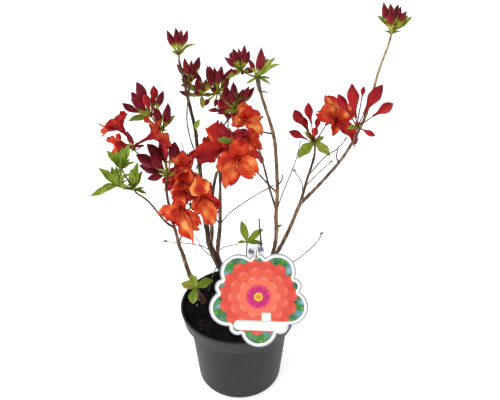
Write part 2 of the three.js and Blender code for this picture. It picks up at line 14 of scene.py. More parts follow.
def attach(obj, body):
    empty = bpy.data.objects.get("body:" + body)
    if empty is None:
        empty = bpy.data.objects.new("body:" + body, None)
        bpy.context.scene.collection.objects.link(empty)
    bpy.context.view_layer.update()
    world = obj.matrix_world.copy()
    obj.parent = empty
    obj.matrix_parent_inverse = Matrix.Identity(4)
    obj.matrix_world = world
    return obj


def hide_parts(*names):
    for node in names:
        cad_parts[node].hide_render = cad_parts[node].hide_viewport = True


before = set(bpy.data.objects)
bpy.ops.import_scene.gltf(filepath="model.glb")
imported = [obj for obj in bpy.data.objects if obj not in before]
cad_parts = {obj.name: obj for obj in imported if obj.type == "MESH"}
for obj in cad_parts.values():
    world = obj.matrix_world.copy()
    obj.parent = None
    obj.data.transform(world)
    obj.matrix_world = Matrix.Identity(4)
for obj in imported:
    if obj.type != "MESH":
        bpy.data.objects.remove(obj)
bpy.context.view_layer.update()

MM = 0.001
BODY = "root"
SEEDS = {"limbs": 100, "masses": 500, "side_twigs": 900, "compost": 7}
RIGHT = np.array([1.0, 0, 0])
AWAY = np.array([0, 1.0, 0])
UP = np.array([0, 0, 1.0])

# Camera, as place, pitch below the horizon and lens
CAMERA_AT = (15.9, -629.6, 656.6)
CAMERA_PITCH = 29.21
CAMERA_LENS = 39.6

# Pot and compost
POT_HEIGHT = 133
POT_RIM_RADIUS = 85
POT_COLLAR = {"top": 84, "bottom": 81.5, "height": 113, "lip": 3}
POT_BODY = {"top": 72, "height": 104, "bottom": 63, "edge": 9}
POT_WALL = 1.8
POT_SIDES = 144
SOIL_TOP = 128
SOIL_DEPTH = 16

# Limbs: parent and place along it, points, foot and tip radii, bark, and flare and ribs at the foot
LIMBS = {
    "trunk": {
        "points": [[0, 8, 128.3], [-1, 7, 138], [-2, 6, 150]],
        "radii": (8.5, 6.5), "bark": "dark", "flare": 1.7, "ribs": 0.16,
    },
    "bough_centre": {
        "from": ("trunk", 1), "points": [[-10, 0, 168], [-24, -6, 197], [-34, -7, 224], [-40, -5, 243]],
        "radii": (5.2, 4.3), "bark": "dark",
    },
    "bough_centre_left": {
        "from": ("bough_centre", 1),
        "points": [[-47, 1, 300], [-49, 8, 350], [-53, 14, 398], [-61, 22, 440], [-70, 34, 478]],
        "radii": (3.2, 1.6), "bark": "dark",
    },
    "bough_centre_right": {
        "from": ("bough_centre", 0.95),
        "points": [[-35, -10, 258], [-34, -14, 290], [-32, -17, 322], [-26, -12, 350]],
        "radii": (2.9, 1.9), "bark": "dark",
    },
    "bough_middle": {
        "from": ("bough_centre", 0.66),
        "points": [[-27, -2, 233], [-24, 1, 270], [-23, 10, 308], [-25, 22, 350], [-24, 34, 388]],
        "radii": (2.3, 1.5), "bark": "brown",
    },
    "bough_right_low": {
        "from": ("trunk", 0.75), "points": [[8, 4, 154], [24, 3, 178], [44, -1, 205]],
        "radii": (4.4, 3.6), "bark": "tan",
    },
    "bough_right_upright": {
        "from": ("bough_right_low", 1),
        "points": [
            [50, -12, 245], [50, -17, 290], [50, -15, 335], [47, -6, 385], [36, 6, 425], [26, 18, 453],
        ],
        "radii": (2.9, 1.8), "bark": "tan",
    },
    "bough_right_outer": {
        "from": ("bough_right_low", 0.94), "points": [[57, 5, 224], [70, 6, 258], [83, 6, 297]],
        "radii": (3, 2.5), "bark": "tan",
    },
    "bough_far_right": {
        "from": ("bough_right_outer", 1),
        "points": [
            [108, -2, 332], [129, -10, 368], [146, -16, 408], [157, -13, 448], [165, -5, 482],
            [175, 5, 510],
        ],
        "radii": (2.3, 1.2), "bark": "pale",
    },
    "bough_right_back": {
        "from": ("bough_right_outer", 0.94), "points": [[91, 17, 324], [99, 26, 350], [101, 32, 366]],
        "radii": (2, 1.4), "bark": "brown",
    },
    "bough_back": {
        "from": ("trunk", 0.85),
        "points": [[-31, 42, 186], [-28, 60, 236], [-27, 70, 290], [-18, 76, 330]],
        "radii": (2.9, 1.8), "bark": "dark",
    },
    "bough_left_low": {
        "points": [[-52, 6, 128.3], [-63, -6, 166], [-73, -18, 222], [-78, -24, 251]],
        "radii": (3.4, 2.4), "bark": "brown", "flare": 1.5,
    },
    "bough_left_upper": {
        "from": ("bough_left_low", 1), "points": [[-84, -30, 300], [-88, -30, 338], [-86, -26, 350]],
        "radii": (2.1, 1.4), "bark": "brown",
    },
    "bough_far_left": {
        "from": ("bough_left_upper", 0.18),
        "points": [[-92, -38, 297], [-106, -50, 329], [-118, -59, 347]],
        "radii": (1.5, 1.1), "bark": "brown",
    },
    "stub": {
        "from": ("trunk", 0.6),
        "points": [[18, -20, 184], [29, -27, 222], [31.4, -27, 244], [27.4, -30, 294]],
        "radii": (2.1, 1), "bark": "dark",
    },
    "spur": {
        "from": ("stub", 0.5), "points": [[26, -33, 233], [24.3, -37.6, 241], [24.2, -39, 251.5]],
        "radii": (1.2, 0.9), "bark": "tan",
    },
}

# Flower, bud and leaf sizes, as in the solids
SHUT = 0.28
FLOWER = {"tube": 18, "throat": 6, "depth": 13, "closed_depth": 1.5, "sunk": 3}
PETALS = 5
FIRST_PETAL = -12
BUD_STALK = 0.12
LEAF_WIDTH = 0.4
# The way leaves face, up and to the front, and how far back they begin to face the back instead
LEAVES_FACE = np.array([0, -0.6, 1.0])
LEAF_TURNS_BACK_AT = 45
TWIG_RADIUS = 1.3
TWIG_SAG = 0.06
TWIG_STEP = 1.8
# A leaf of the solids stands for up to three, by turn, rise and share of its length
LEAF_FAN = [(0, 0, 1), (28, 14, 0.82), (-24, -14, 0.7)]
SPRAY = {"turn": 137.5, "seed_turn": 31, "jitter": 12, "upward": 0.35}

# Masses of buds, flowers and leaves

@dataclass
class Heart:
    """A point of a mass that buds, flowers and leaves grow from.

    Its own twig comes from the heart before it, or from the one that is numbered. The spray is its
    spread, number and length of seeded buds. More buds lean further out. A bloom is the place of
    its mouth, its bearing, lift, how far it is open and how golden it is. A tip, or a hanging bud,
    is its bearing, lift, reach and length. A leaf, or a small one, is its bearing, lift and
    length, and where it isn't fresh green, its tint.
    """
    at: list
    axis: list
    seed: int
    spray: tuple = (0, 0, 0)
    more: int = 0
    kind: str = ""
    grown_from: int = None
    blooms: tuple = ()
    tips: tuple = ()
    hanging: tuple = ()
    leaves: tuple = ()
    small_leaves: tuple = ()


@dataclass
class Mass:
    """A limb and the place along it, the kind of buds there, the hearts, how green the buds' feet
    are, and the width and number of the leaves that stand for one of the solids."""
    limb: str
    share: float
    kind: str
    hearts: list
    green: float = 1.0
    leaf_width: float = LEAF_WIDTH
    leaves_each: int = 1


MASSES = {
    "truss_top_left": Mass("bough_centre_left", 1, "young", green=1.7, leaf_width=0.26, hearts=[
        Heart([-70, 36, 485], [0, 0.1, 1], 11, spray=[42, 8, 22],
              leaves=[[-20, 40, 26, "olive"], [150, 20, 12, "olive"], [-110, 35, 14, "olive"]]),
    ]),
    "truss_top_right": Mass("bough_far_right", 1, "young", green=2.0, leaf_width=0.24, hearts=[
        Heart([176, 6, 517], [0.05, 0, 1], 23, spray=[44, 8, 23],
              leaves=[[150, 60, 24], [-10, 55, 26], [-80, 50, 20, "olive"]],
              small_leaves=[[176, 54, 27], [-6, 44, 28], [-30, 52, 24, "olive"]]),
    ]),
    "truss_upper_right": Mass("bough_right_upright", 1, "young", leaf_width=0.22, leaves_each=2, hearts=[
        Heart([25, 20, 462], [0.15, -0.1, 1], 31,
              tips=[[50, 81, 36, 31], [45, 49, 27, 20], [151, 60, 25, 18]],
              leaves=[[5, 51, 33], [-17, 37, 33], [-33, -13, 19], [-151, -17, 17]]),
        Heart([5, 34, 467], [-0.25, 0.3, 1], 37, spray=[58, 9, 20], more=6,
              leaves=[[-130, -10, 24, "olive"], [-160, -20, 22, "olive"]]),
    ]),
    "truss_upper_middle": Mass("bough_middle", 1, "young", green=1.5, hearts=[
        Heart([-3, 40, 415], [0.2, 0, 1], 41, spray=[60, 9, 26], more=13,
              hanging=[[176, -6, 36, 17], [-176, -14, 24, 16], [-150, -34, 17, 13],
                       [-20, -30, 15, 12]], leaves=[[-90, 10, 20, "olive"], [60, 20, 24]]),
        Heart([-26, 50, 434], [0, 0.2, 1], 43, spray=[45, 9, 26], more=7,
              hanging=[[-170, -40, 28, 17], [-100, -44, 22, 14]], leaves=[[100, 10, 20]]),
        Heart([-45, 40, 433], [-0.5, 0.1, 1], 47, spray=[70, 6, 24], more=6,
              leaves=[[-80, -60, 16, "olive"]]),
    ]),
    "truss_upper_left": Mass("bough_centre_left", 0.8, "young", hearts=[
        Heart([-58, 42, 450], [-0.1, 0.1, 1], 53, spray=[46, 8, 21], more=4,
              leaves=[[-140, 20, 14, "olive"]]),
    ]),
    "flowers_upper": Mass("bough_right_upright", 0.72, "young", hearts=[
        Heart([29, 8, 398], [-0.6, -0.5, 0.4], 59, blooms=[[12, -14, 425, -80, 32, 0.6, 0.65]],
              leaves=[[150, 30, 16]]),
    ]),
    "flowers_front": Mass("bough_right_upright", 0.46, "young", hearts=[
        Heart([-3, -38, 402], [-0.5, -0.5, 0.6], 61,
              blooms=[[1, -71, 398, -95, 26, 0.92, 0.5], [17, -38, 405, -65, 14, 0.6, 0.3]],
              leaves=[[170, 10, 20, "dark"]]),
    ]),
    "flowers_middle": Mass("bough_centre_right", 1, "ripe", hearts=[
        Heart([-17, -6, 366], [-0.4, -0.2, 0.9], 67, blooms=[[-19, -24, 387, -104, 30, 0.85, 0.1]],
              leaves=[[-20, 20, 20], [60, 30, 24]]),
    ]),
    "crown_left": Mass("bough_left_upper", 1, "mixed", leaf_width=0.28, hearts=[
        Heart([-85, -26, 354], [-0.62, 0, 0.7], 83, kind="parting",
              blooms=[[-67, -42, 373, -100, 34, 0.45, 0.35], [-60, -48, 361, -60, 20, 0.3, 0.6]],
              tips=[[-166, 42, 46, 33], [170, 13, 36, 30], [-168, 64, 47, 34], [156, 80, 44, 32],
                    [-127, 57, 41, 31], [-154, 3, 25, 21], [139, 44, 30, 24], [-20, 76, 46, 30]],
              leaves=[[-30, 20, 24, "olive"]]),
        Heart([-92, 2, 401], [0.2, 0.2, 1], 71, spray=[40, 5, 24], leaves=[[20, 50, 26, "olive"]]),
        Heart([-103, -2, 421], [-0.4, 0.2, 1], 73, spray=[66, 9, 27], leaves=[[175, -10, 30, "dark"]]),
        Heart([-121, -34, 391], [-0.2, 0, 0.9], 79, spray=[30, 1, 18], grown_from=0,
              blooms=[[-143, -26, 426, 151, 41, 0.35, 0.6], [-143, -36, 395, -150, 8, 0.4, 0.3],
                      [-90, -24, 410, 10, 25, 0.65, 0.4]]),
    ]),
    "leaves_far_left": Mass("bough_far_left", 1, "young", leaf_width=0.27, leaves_each=2, hearts=[
        Heart([-120, -62, 353], [-0.8, -0.2, 0.6], 89,
              leaves=[[-129, 27, 17], [37, 78, 34], [-99, 44, 22]],
              # The dark small leaves also paint the shade among the leaves
              small_leaves=[[20, 62, 26, "dark"], [-10, -12, 16, "dark"], [-60, 40, 18]]),
        Heart([-130, -66, 382], [-0.3, -0.2, 0.9], 91,
              leaves=[[-134, 61, 32], [28, 67, 32], [-72, 57, 30], [0, 33, 18], [-113, -7, 20]]),
        Heart([-138, -66, 360], [-0.6, 0, 0.8], 93, grown_from=0,
              leaves=[[180, 54, 30], [83, 77, 24], [-152, -8, 32], [169, -6, 22]],
              small_leaves=[[10, 48, 22], [-40, 20, 20], [120, 60, 24, "dark"]]),
    ]),
    "flowers_low_left": Mass("bough_left_upper", 0.3, "ripe", hearts=[
        Heart([-56, -36, 315], [0, -0.6, 0.5], 97,
              blooms=[[-68, -62, 323, -100, 6, 0.9, 0.8], [-39, -64, 342, -82, 20, 0.75, 0.9],
                      [-68, -50, 346, -100, 32, 0.5, 0.7]]),
    ]),
    "truss_right": Mass("bough_right_back", 1, "ripe", hearts=[
        Heart([99, 34, 372], [-0.2, 0, 1], 101, blooms=[[125, 4, 418, -60, 36, 0.9, 0.6]],
              tips=[[-163, 60, 55, 30], [157, 62, 38, 22], [120, 74, 52, 28], [51, 70, 34, 20],
                    [-94, 56, 34, 24], [-173, 27, 38, 28]],
              leaves=[[-133, -18, 34], [-45, -16, 30], [136, 35, 20], [19, 22, 16]]),
    ]),
    "flowers_right": Mass("bough_far_right", 0.5, "ripe", hearts=[
        Heart([139, -34, 421], [0.3, -0.3, 0.9], 103,
              blooms=[[162, -36, 468, 35, 48, 0.25, 0.1], [131, -32, 468, 100, 60, 0.25, 0.2]],
              tips=[[18, 27, 50, 28], [-41, -11, 26, 20], [62, 74, 46, 14], [165, 58, 44, 27]],
              leaves=[[-150, 0, 14]]),
    ]),
    "flowers_back": Mass("bough_back", 1, "ripe", hearts=[
        Heart([-16, 80, 340], [0, 0.5, 0.8], 107, spray=[50, 4, 26],
              blooms=[[-12, 115, 336, 92, 18, 0.85, 0.6], [-48, 106, 330, 140, 12, 0.65, 0.5],
                      [18, 103, 333, 38, 20, 0.65, 0.4]],
              leaves=[[-10, 30, 24], [170, 30, 24], [100, -20, 30]]),
        Heart([-14, 84, 384], [0, 0.2, 1], 109, spray=[50, 8, 26],
              leaves=[[60, 10, 24], [130, 20, 26]]),
    ]),
    "flowers_back_left": Mass("bough_back", 0.55, "ripe", hearts=[
        Heart([-72, 66, 292], [-0.7, 0.3, 0.6], 113, spray=[50, 5, 25],
              blooms=[[-92, 88, 300, 140, 10, 0.8, 0.6], [-78, 84, 330, 120, 50, 0.6, 0.4]],
              leaves=[[100, 10, 30], [180, 20, 30], [60, 30, 26]]),
    ]),
    "leaves_low_left": Mass("bough_left_low", 0.3, "young", leaf_width=0.56, hearts=[
        Heart([-58, -28, 182], [0, -0.5, 0.8], 127,
              leaves=[[170, 12, 22, "olive"], [125, 50, 20, "brown"], [15, 18, 26, "brown"],
                      [-110, -50, 24, "brown"]]),
    ]),
    "leaves_middle": Mass("bough_right_low", 0.35, "young", leaf_width=0.34, hearts=[
        Heart([12, -24, 254], [0, -0.3, 0.9], 131,
              leaves=[[115, 55, 30], [25, 32, 28], [0, -5, 22, "dark"], [180, 0, 14]]),
    ]),
}

# Petals of the flowers that show best, by the seed of the heart and the flower's place there:
# turn round the flower, length and half width as shares, tint, and how far each is open. A deep
# tint is crimson all over, and on far petals it also paints their shaded inside.
PETAL_PLANS = {
    (61, 0): [
        [-4, 0.84, 0.42, "plain", 0.9], [92, 0.8, 0.46, "plain", 0.9], [168, 1.04, 0.34, "pale", 0.9],
        [232, 0.9, 0.44, "pale", 0.9], [292, 0.8, 0.42, "plain", 0.9],
    ],
    (61, 1): [
        [42, 1.0, 0.36, "deep", 0.8], [-42, 0.6, 0.34, "plain", 0.6], [-108, 0.66, 0.36, "plain", 0.7],
        [-160, 0.7, 0.4, "plain", 0.7], [100, 0.6, 0.34, "deep", 0.7],
    ],
    (59, 0): [
        [8, 0.76, 0.42, "plain", 0.7], [-62, 0.72, 0.46, "plain", 0.8], [-138, 0.95, 0.32, "pale", 0.9],
        [118, 0.6, 0.44, "pale", 0.8], [66, 0.56, 0.4, "pale", 0.7],
    ],
    (67, 0): [
        [30, 1.3, 0.15, "plain", 0.8], [58, 1.02, 0.32, "deep", 0.8], [4, 1.36, 0.3, "deep", 0.75],
        [102, 1.24, 0.34, "deep", 0.9], [-60, 0.4, 0.4, "deep", 0.6],
    ],
    (83, 0): [
        [4, 0.98, 0.4, "plain", 0.6], [-56, 0.7, 0.34, "plain", 0.6], [62, 0.5, 0.34, "deep", 0.5],
        [150, 0.66, 0.34, "plain", 0.7], [-128, 0.85, 0.36, "plain", 0.7],
    ],
    (97, 0): [
        [10, 0.78, 0.4, "plain", 0.7], [94, 0.92, 0.42, "plain", 0.9], [152, 0.66, 0.36, "deep", 0.9],
        [196, 1.34, 0.24, "pale", 0.95], [238, 1.0, 0.36, "plain", 0.9],
    ],
    (97, 1): [
        [12, 1.2, 0.34, "rim", 0.6], [-30, 0.9, 0.26, "deep", 0.5], [-104, 0.74, 0.36, "deep", 0.9],
        [-170, 1.04, 0.32, "pale", 0.9], [138, 0.68, 0.42, "plain", 0.9],
    ],
    (97, 2): [
        [4, 1.0, 0.36, "plain", 0.8], [-42, 0.74, 0.34, "pale", 0.8], [-112, 0.86, 0.34, "deep", 0.8],
        [150, 0.66, 0.36, "plain", 0.8], [88, 0.5, 0.34, "plain", 0.7],
    ],
    (101, 0): [
        [14, 1.2, 0.28, "pale", 0.85], [64, 1.22, 0.34, "plain", 0.9], [-80, 1.0, 0.32, "pale", 0.9],
        [-166, 1.34, 0.22, "deep", 0.95], [146, 0.6, 0.3, "plain", 0.9],
    ],
}

# Thin side twigs: points from foot to tip, foot and tip radii, and True where a green bud ends it
SIDE_TWIGS = [
    ([[-29, -3, 216], [-27, -3, 226], [-17, -12, 239], [1, -22, 250]], 0.5, 0.3),
    ([[-38, -6, 229], [-51, -14, 242], [-69, -20, 250], [-93, -24, 255]], 0.5, 0.3, True),
    ([[-30, -4, 212], [-37, -5, 218], [-48, -12, 235], [-53, -16, 251], [-57, -18, 260]], 0.5, 0.3),
    ([[-29, -6, 206], [-33, -10, 198], [-38, -14, 184], [-42, -18, 168]], 0.6, 0.45),
    ([[30, 2, 186], [58, -4, 208], [75, -22, 222], [101, -30, 255], [108, -32, 271]], 0.6, 0.35, True),
    ([[-24, -1, 268], [-11, -4, 287], [16, -8, 311], [46, -14, 334]], 0.5, 0.45),
    ([[-24, 0, 266], [-35, 6, 281], [-43, 12, 293]], 0.8, 0.5),
    ([[50, -17, 298], [40, -18, 333], [36, -18, 350], [29, -20, 378], [24, -30, 396]], 1.3, 0.9),
    ([[50, -17, 298], [58, -12, 322], [73, -4, 363], [79, 6, 386]], 0.55, 0.35),
    ([[85, 6, 305], [84, 6, 324], [79, 4, 336], [73, 2, 345]], 0.5, 0.3, True),
    ([[90, 12, 320], [104, 0, 345], [116, -4, 360]], 0.5, 0.3, True),
    ([[92, 16, 332], [111, 4, 365], [124, 0, 377], [133, -2, 390]], 0.6, 0.35, True),
    ([[126, -9, 362], [123, -9, 372], [124, -10, 385]], 0.8, 0.4),
    ([[29, 13, 446], [33, 8, 449], [37, 6, 447]], 0.8, 0.4),
    ([[28, 15, 447], [26, 17, 455], [25, 19, 463]], 2.2, 2.9),
    ([[-50, 9, 360], [-57, 10, 379], [-61, 14, 395], [-63, 20, 409], [-62, 28, 427],
       [-59, 40, 446]], 0.7, 0.55),
    ([[-52, 4, 326], [-57, 0, 343], [-63, -4, 364], [-68, -8, 389]], 0.5, 0.25),
    ([[-57, 0, 343], [-59, 0, 358], [-63, 2, 373]], 0.4, 0.25),
    ([[-78, -25, 253], [-73, -30, 268], [-66, -36, 292]], 0.9, 0.6),
    ([[50, -16, 334], [55, -17, 341], [57, -18, 352]], 0.9, 0.4),
]

# Single small leaves on the limbs, as foot, bearing, lift and length
LONE_LEAVES = [
    [[-52, 12, 398], -20, 70, 16],
    [[51, -16, 272], -10, 35, 9],
    [[-53, 6, 346], 20, 60, 9],
]

# Colours, from the deepest to the lightest
PETAL_TINTS = ["#560A12", "#82141E", "#9C1A22", "#B2241E", "#C2341A", "#CE4A26", "#DC703E", "#ECA254"]
PETAL_STEPS = 15
BUD_TINTS = {
    "young": ["#32060C", "#4C0A14", "#66101C", "#7E1A28", "#94303A"],
    "ripe": ["#520910", "#740E17", "#92161E", "#AA2226", "#BE3A34"],
}
BUD_STEPS = 13
BUD_GREENS = ["#6A3C22", "#86762C", "#A2A43C"]
# Tints of a bud's foot from the top down, as places among its own steps and then its greens
BUD_FEET = {"young": (BUD_STEPS, BUD_STEPS + 1, BUD_STEPS + 2), "ripe": (3, 2, BUD_STEPS)}
STALK_TINT = 3
# Leaf greens from the deepest, then a brown and two olives
LEAF_TINTS = ["#3C4C0E", "#52641A", "#688020", "#82982C", "#9EAE48", "#7A4A22", "#666A20", "#929036"]
LEAF_BROWN = 5
LEAF_OLIVES = (6, 7)
# A style, filaments, their anthers and the style's knob
STAMEN_TINTS = ["#B03C26", "#CC6638", "#D09A48", "#4A2E1A"]
BARK_TINTS = {
    "dark": ("#231812", "#48352A", "#806650"),
    "brown": ("#33241C", "#5F4636", "#967759"),
    "tan": ("#483426", "#775A44", "#A88864"),
    "pale": ("#7A604A", "#A88A6A", "#D4BA94"),
    "weathered": ("#33261E", "#6A5444", "#A08A74"),
    "green": ("#4A4420", "#6E6C30", "#8E9044"),
    "thin": ("#3A322A", "#544A3E", "#6E6456"),
}
BARK_SLOTS = {"dark": "dark_bark", "brown": "dark_bark", "tan": "tan_bark", "pale": "tan_bark"}
# Two barks on one limb, and how far along it the second takes over
TWO_BARKS = {"pale": ("weathered", "pale")}
BARK_CHANGE = 0.62
POT_TINTS = ("#1B1D1E", "#222425", "#2C2E2F")
COMPOST_TINTS = ("#050403", "#0C0908", "#1C1512")
CRUMB_TINTS = ["#080605", "#100C09", "#1E1610", "#3A2414", "#8A4A20", "#9A948A"]
CRUMB_CHANCES = [0.42, 0.36, 0.17, 0.025, 0.01, 0.015]
GROUND_TINTS = ("#16352C", "#2E6F50", "#4B8A3C", "#4F8F96", "#9CC0D4")
PRINT_TINTS = ["#C22E26", "#D0382C", "#DA4634", "#E25A44", "#EC6E54", "#F08462",
               "#A80C58", "#C01468", "#D83A86", "#E08A1C", "#F4C23C"]
PRINT_GREENS = ["#1E4A20", "#3C7A2A", "#64A038"]
# Greys of the clear tab, which are painted reflections
TAB_REFLECTION_TINTS = ["#6E7480", "#9AA0AC", "#C4C8D2", "#ECEEF4"]
CARD_TINTS = {"edge": "#9EA1AB", "border": "#F4F4F2", "strip": "#EFEEEA"}

# Bark: the rings of a limb, its ridges and their waves along it, its knots, the swell where it
# leaves its parent, its sway and how deep a foot stands in the compost
LIMB_SIDES = 14
RING_STEP = 1.7
RIDGES = {"lobes": (1, 2, 3, 4, 5), "waves": (9, 21, 47), "depth": 0.05}
KNOTS = {"spacing": 26, "length": 2.4, "round": 0.09, "side": 0.22}
FORK = {"swell": 0.3, "length": 7}
SWAY = {"waves": (11, 17), "reach": 0.35, "fade": 10}
FOOT_DEPTH = 3
KNOT_WAVE = 1.3
TWIG_TAPER = 0.72
SIDE_TWIG_STEPS = 30
SIDE_TWIG_COAT = 0.26
SIDE_TWIG_BUD = 6.5

# Bud outlines as shares of the length and of the greatest radius, the width as a share of the
# length, how deep the furrows are, how far the petal tips part and how high the green foot is
BUD_KINDS = {
    "young": {
        "outline": [(0, 0.3), (0.1, 0.42), (0.26, 0.84), (0.44, 1), (0.62, 0.86), (0.78, 0.58),
                    (0.9, 0.28), (1, 0.02)],
        "coat": "young", "width": 0.38, "furrow": 0.2, "part": 0, "foot": 0.14,
    },
    "ripe": {
        "outline": [(0, 0.2), (0.18, 0.24), (0.32, 0.44), (0.46, 0.82), (0.6, 1), (0.76, 0.84),
                    (0.9, 0.42), (1, 0.03)],
        "coat": "ripe", "width": 0.43, "furrow": 0.14, "part": 0, "foot": 0.04,
    },
    "opening": {
        "outline": [(0, 0.2), (0.16, 0.25), (0.3, 0.36), (0.44, 0.68), (0.58, 0.96), (0.7, 1),
                    (0.86, 0.62), (1, 0.1)],
        "coat": "ripe", "width": 0.4, "furrow": 0.3, "part": 0.12, "foot": 0.04,
    },
    "parting": {
        "outline": [(0, 0.16), (0.14, 0.24), (0.28, 0.55), (0.44, 0.88), (0.58, 1), (0.74, 0.88),
                    (0.88, 0.56), (1, 0.12)],
        "coat": "young", "width": 0.45, "furrow": 0.36, "part": 0.16, "foot": 0.08,
    },
}
PARTED = ("opening", "parting")
MIXED_BUDS = ["young", "young", "parting", "ripe"]
BUD_RINGS, BUD_SIDES = 18, 20
BUD_BEND = 0.09
LONG_STYLE_CHANCE = 0.15
# Extra buds lean further out than those of the solids, by up to this much less or more
MORE_LEAN = 84
MORE_JITTER = (-34, 40)

# Petals: their grid, length when shut and what opening adds, sag, how far those without a plan
# vary in place, length and width, thickness at the root and how much of it the tip loses, and
# where the lobe is widest
PETAL_ROWS, PETAL_COLUMNS = 24, 19
PETAL_LENGTH = {"shut": 24.5, "opening": 7}
PETAL_SAG = 3.5
PETAL_JITTER = 9
PETAL_SHARES = (0.84, 1.06)
PETAL_HALF_WIDTHS = (0.29, 0.38)
PETAL_THICKNESS = {"root": 0.45, "loss": 0.3}
LOBE_WIDEST = 0.6
# How much wider the joined roots are than a fifth of the funnel, and the radius its wall opens to
ROOT_OVERLAP = 1.4
WALL_RADIUS = 26
# Lean of a petal in degrees: at its root, what its throat, blade and tip add, and what each adds
# more in an open flower
PETAL_LEAN = {"root": 8, "throat": (20, 34), "blade": (18, 8), "tip": 20}
# Waves along a petal, as size and speed: of its width, of the frill and of the crumpled blade
RAGGED = ((0.12, 7), (0.055, 16))
FRILL = ((1, 8), (0.5, 15))
CRUMPLE = 1.1
EDGE_SHIFT = 1.7
GROOVE = 1.5
# Notches of a petal's tip as size and waves across it, and its even round
NOTCHES = ((0.08, 2.2), (0.02, 5))
TIP_ROUND = 0.04
# How much of the petals' waves a plain crimson flower keeps
CALM_RED = 0.6
# Light of a petal's middle by its tone, where a plain one's is drawn
TONES = {"pale": 2.4, "deep": 0.2, "rim": -1.0}
# The funnel under the petals, by height and radius
FUNNEL = np.array([(-1, 1), (0, 1.7), (2, 1.5), (6, 1.6), (11, 1.9), (15, 2.3), (19.2, 3.15)])
# Tints of the funnel's wall and of its ends; the lighter ends are painted light that offsets the shade
# deep in the throat
FUNNEL_TINTS = (3, 7)
# Stamens: how many, their reach and spread when shut and what opening adds, foot and tip radii,
# and where an anther begins and ends at the tip
STAMENS = 3
STAMEN_REACH = {"shut": 9, "opening": 9}
STAMEN_SPREAD = {"shut": 2, "opening": 13}
STAMEN_RADII = (0.42, 0.34)
STAMEN_STEPS = 14
ANTHER = np.array([0.2, 0.6, 0.75, 0.65, 0.45, 0.1])
ANTHER_SPAN = (-0.4, 2.2)

# Leaves and scales: their grids, droop in degrees, fold along the rib, thickness, how light each
# tint is and where its brown edge begins
LEAF_GRID = (17, 9)
LEAF_DROOPS = (4, 40)
LEAF_FOLDS = (0.25, 0.6)
LEAF_THICKNESS = {"least": 0.1, "of_length": 0.0105}
SCALE_GRID = (10, 6)
SCALES = 16
SCALE_LENGTH = {"young": 9.5, "ripe": 7, "mixed": 7, "parting": 7}
# Their turn from one to the next and their lean in radians, and the widths and lengths they vary by
SCALE_TURN = 2.4
SCALE_LEAN = (0.2, 1.2)
SCALE_WIDTHS = (0.22, 0.5)
SCALE_SHARES = (0.6, 1.25)
# A dark leaf is deep green below and brown above, and among the leaves it also paints their shade
LEAF_LIGHT = {"fresh": 1.9, "olive": 1.2, "brown": 1.6, "dark": 0.8}
LEAF_BROWNED = {"fresh": 1.1, "olive": 0.8, "brown": 0.2, "dark": -0.1}

# Compost: its surface as rings, sides and waves, and the crumbs on it
SOIL_ROWS, SOIL_SIDES = 90, 200
SOIL_WAVES = (46, 27, 15, 8.5, 5, 3.1)
SOIL_RELIEF = 0.018
SOIL_GRAIN = 0.45
CRUMB_COUNT = 1500
CRUMB_SIDES = 6
CRUMB_SIZES = (0.5, 1.9)
CRUMB_SKEW = 1.3
CRUMB_STRETCH = (0.7, 1.7)
CRUMB_GIRTH = 0.7
CRUMB_SECTION = np.array([0.45, 1, 0.9, 0.35])

# Label card, in its own frame: X to the right, Y up the card and height out of its face
CARD_LEAN = math.radians(22)
CARD_GAP = 0.3
CARD_CENTRE = np.array([27.0, 62.5])
BIG_LOBES = {"count": 5, "first": 55, "reach": 43, "radius": 24.5}
SMALL_LOBES = {"count": 5, "first": 91, "reach": 48, "radius": 11.5}
TAB = {"at": np.array([24.0, 124.0]), "radius": 10.6, "sides": 72}
SLOT = np.array([2.4, 5.8])
CARD_POINTS = 540
CAD_POT_SIDES = 40
LAYERS = {"edge": (0, 0.5), "print": (0.45, 0.55), "motif": 0.6, "strip": (0.76, 0.82),
          "tile": (0.78, 0.84), "border": (0.45, 0.88), "tab": (0.05, 0.3)}
BORDER_INSET = 1.8
PRINT_INSET = 5.2
CARD_UP = np.array([0, math.sin(CARD_LEAN), math.cos(CARD_LEAN)])
CARD_OUT = np.array([0, -math.cos(CARD_LEAN), math.sin(CARD_LEAN)])
CARD_ORIGIN = (np.array([0, -POT_RIM_RADIUS * math.cos(2 * math.pi / CAD_POT_SIDES), POT_HEIGHT])
               + CARD_OUT * CARD_GAP)
ROSETTE_AT = np.array([27.0, 64.0])
# Rings of the printed rosette, from the lowest: how many petals, the radii they run from and to,
# the first one's turn and their tints. Below them all lies a ring of printed leaves.
ROSETTE = [
    {"petals": 15, "from": 20, "to": 52, "turn": 4, "tints": (0, 3)},
    {"petals": 13, "from": 12, "to": 40, "turn": 14, "tints": (1, 4)},
    {"petals": 10, "from": 5, "to": 28, "turn": 0, "tints": (2, 5)},
    {"petals": 8, "from": 1, "to": 16, "turn": 20, "tints": (6, 8)},
    {"petals": 7, "from": 0.4, "to": 6, "turn": 0, "tints": (9, 10)},
]
PRINTED_LEAVES = {"petals": 15, "from": 36, "to": 66, "turn": 9, "tints": (11, 13), "width": 8.5}
RING_HEIGHT = 0.02
PRINTED_GRID = (14, 9)
PRINTED_THICKNESS = 0.015
STRIP = {"from": np.array([1.0, 26.0]), "to": np.array([88.0, 22.6]), "half": 6.9}
TILE = {"at": np.array([37.4, 37.0]), "half": np.array([6.2, 5.6]), "corner": 1.2}
# Section of the clear tab: share of the way from its slot to its edge, and height over its top.
# It ends at the underside.
TAB_SECTION = [(0, 0.12), (0.1, 0.15), (0.18, 0), (0.5, -0.04), (0.86, 0), (0.92, 0.15), (0.98, 0.14),
               (1, 0)]

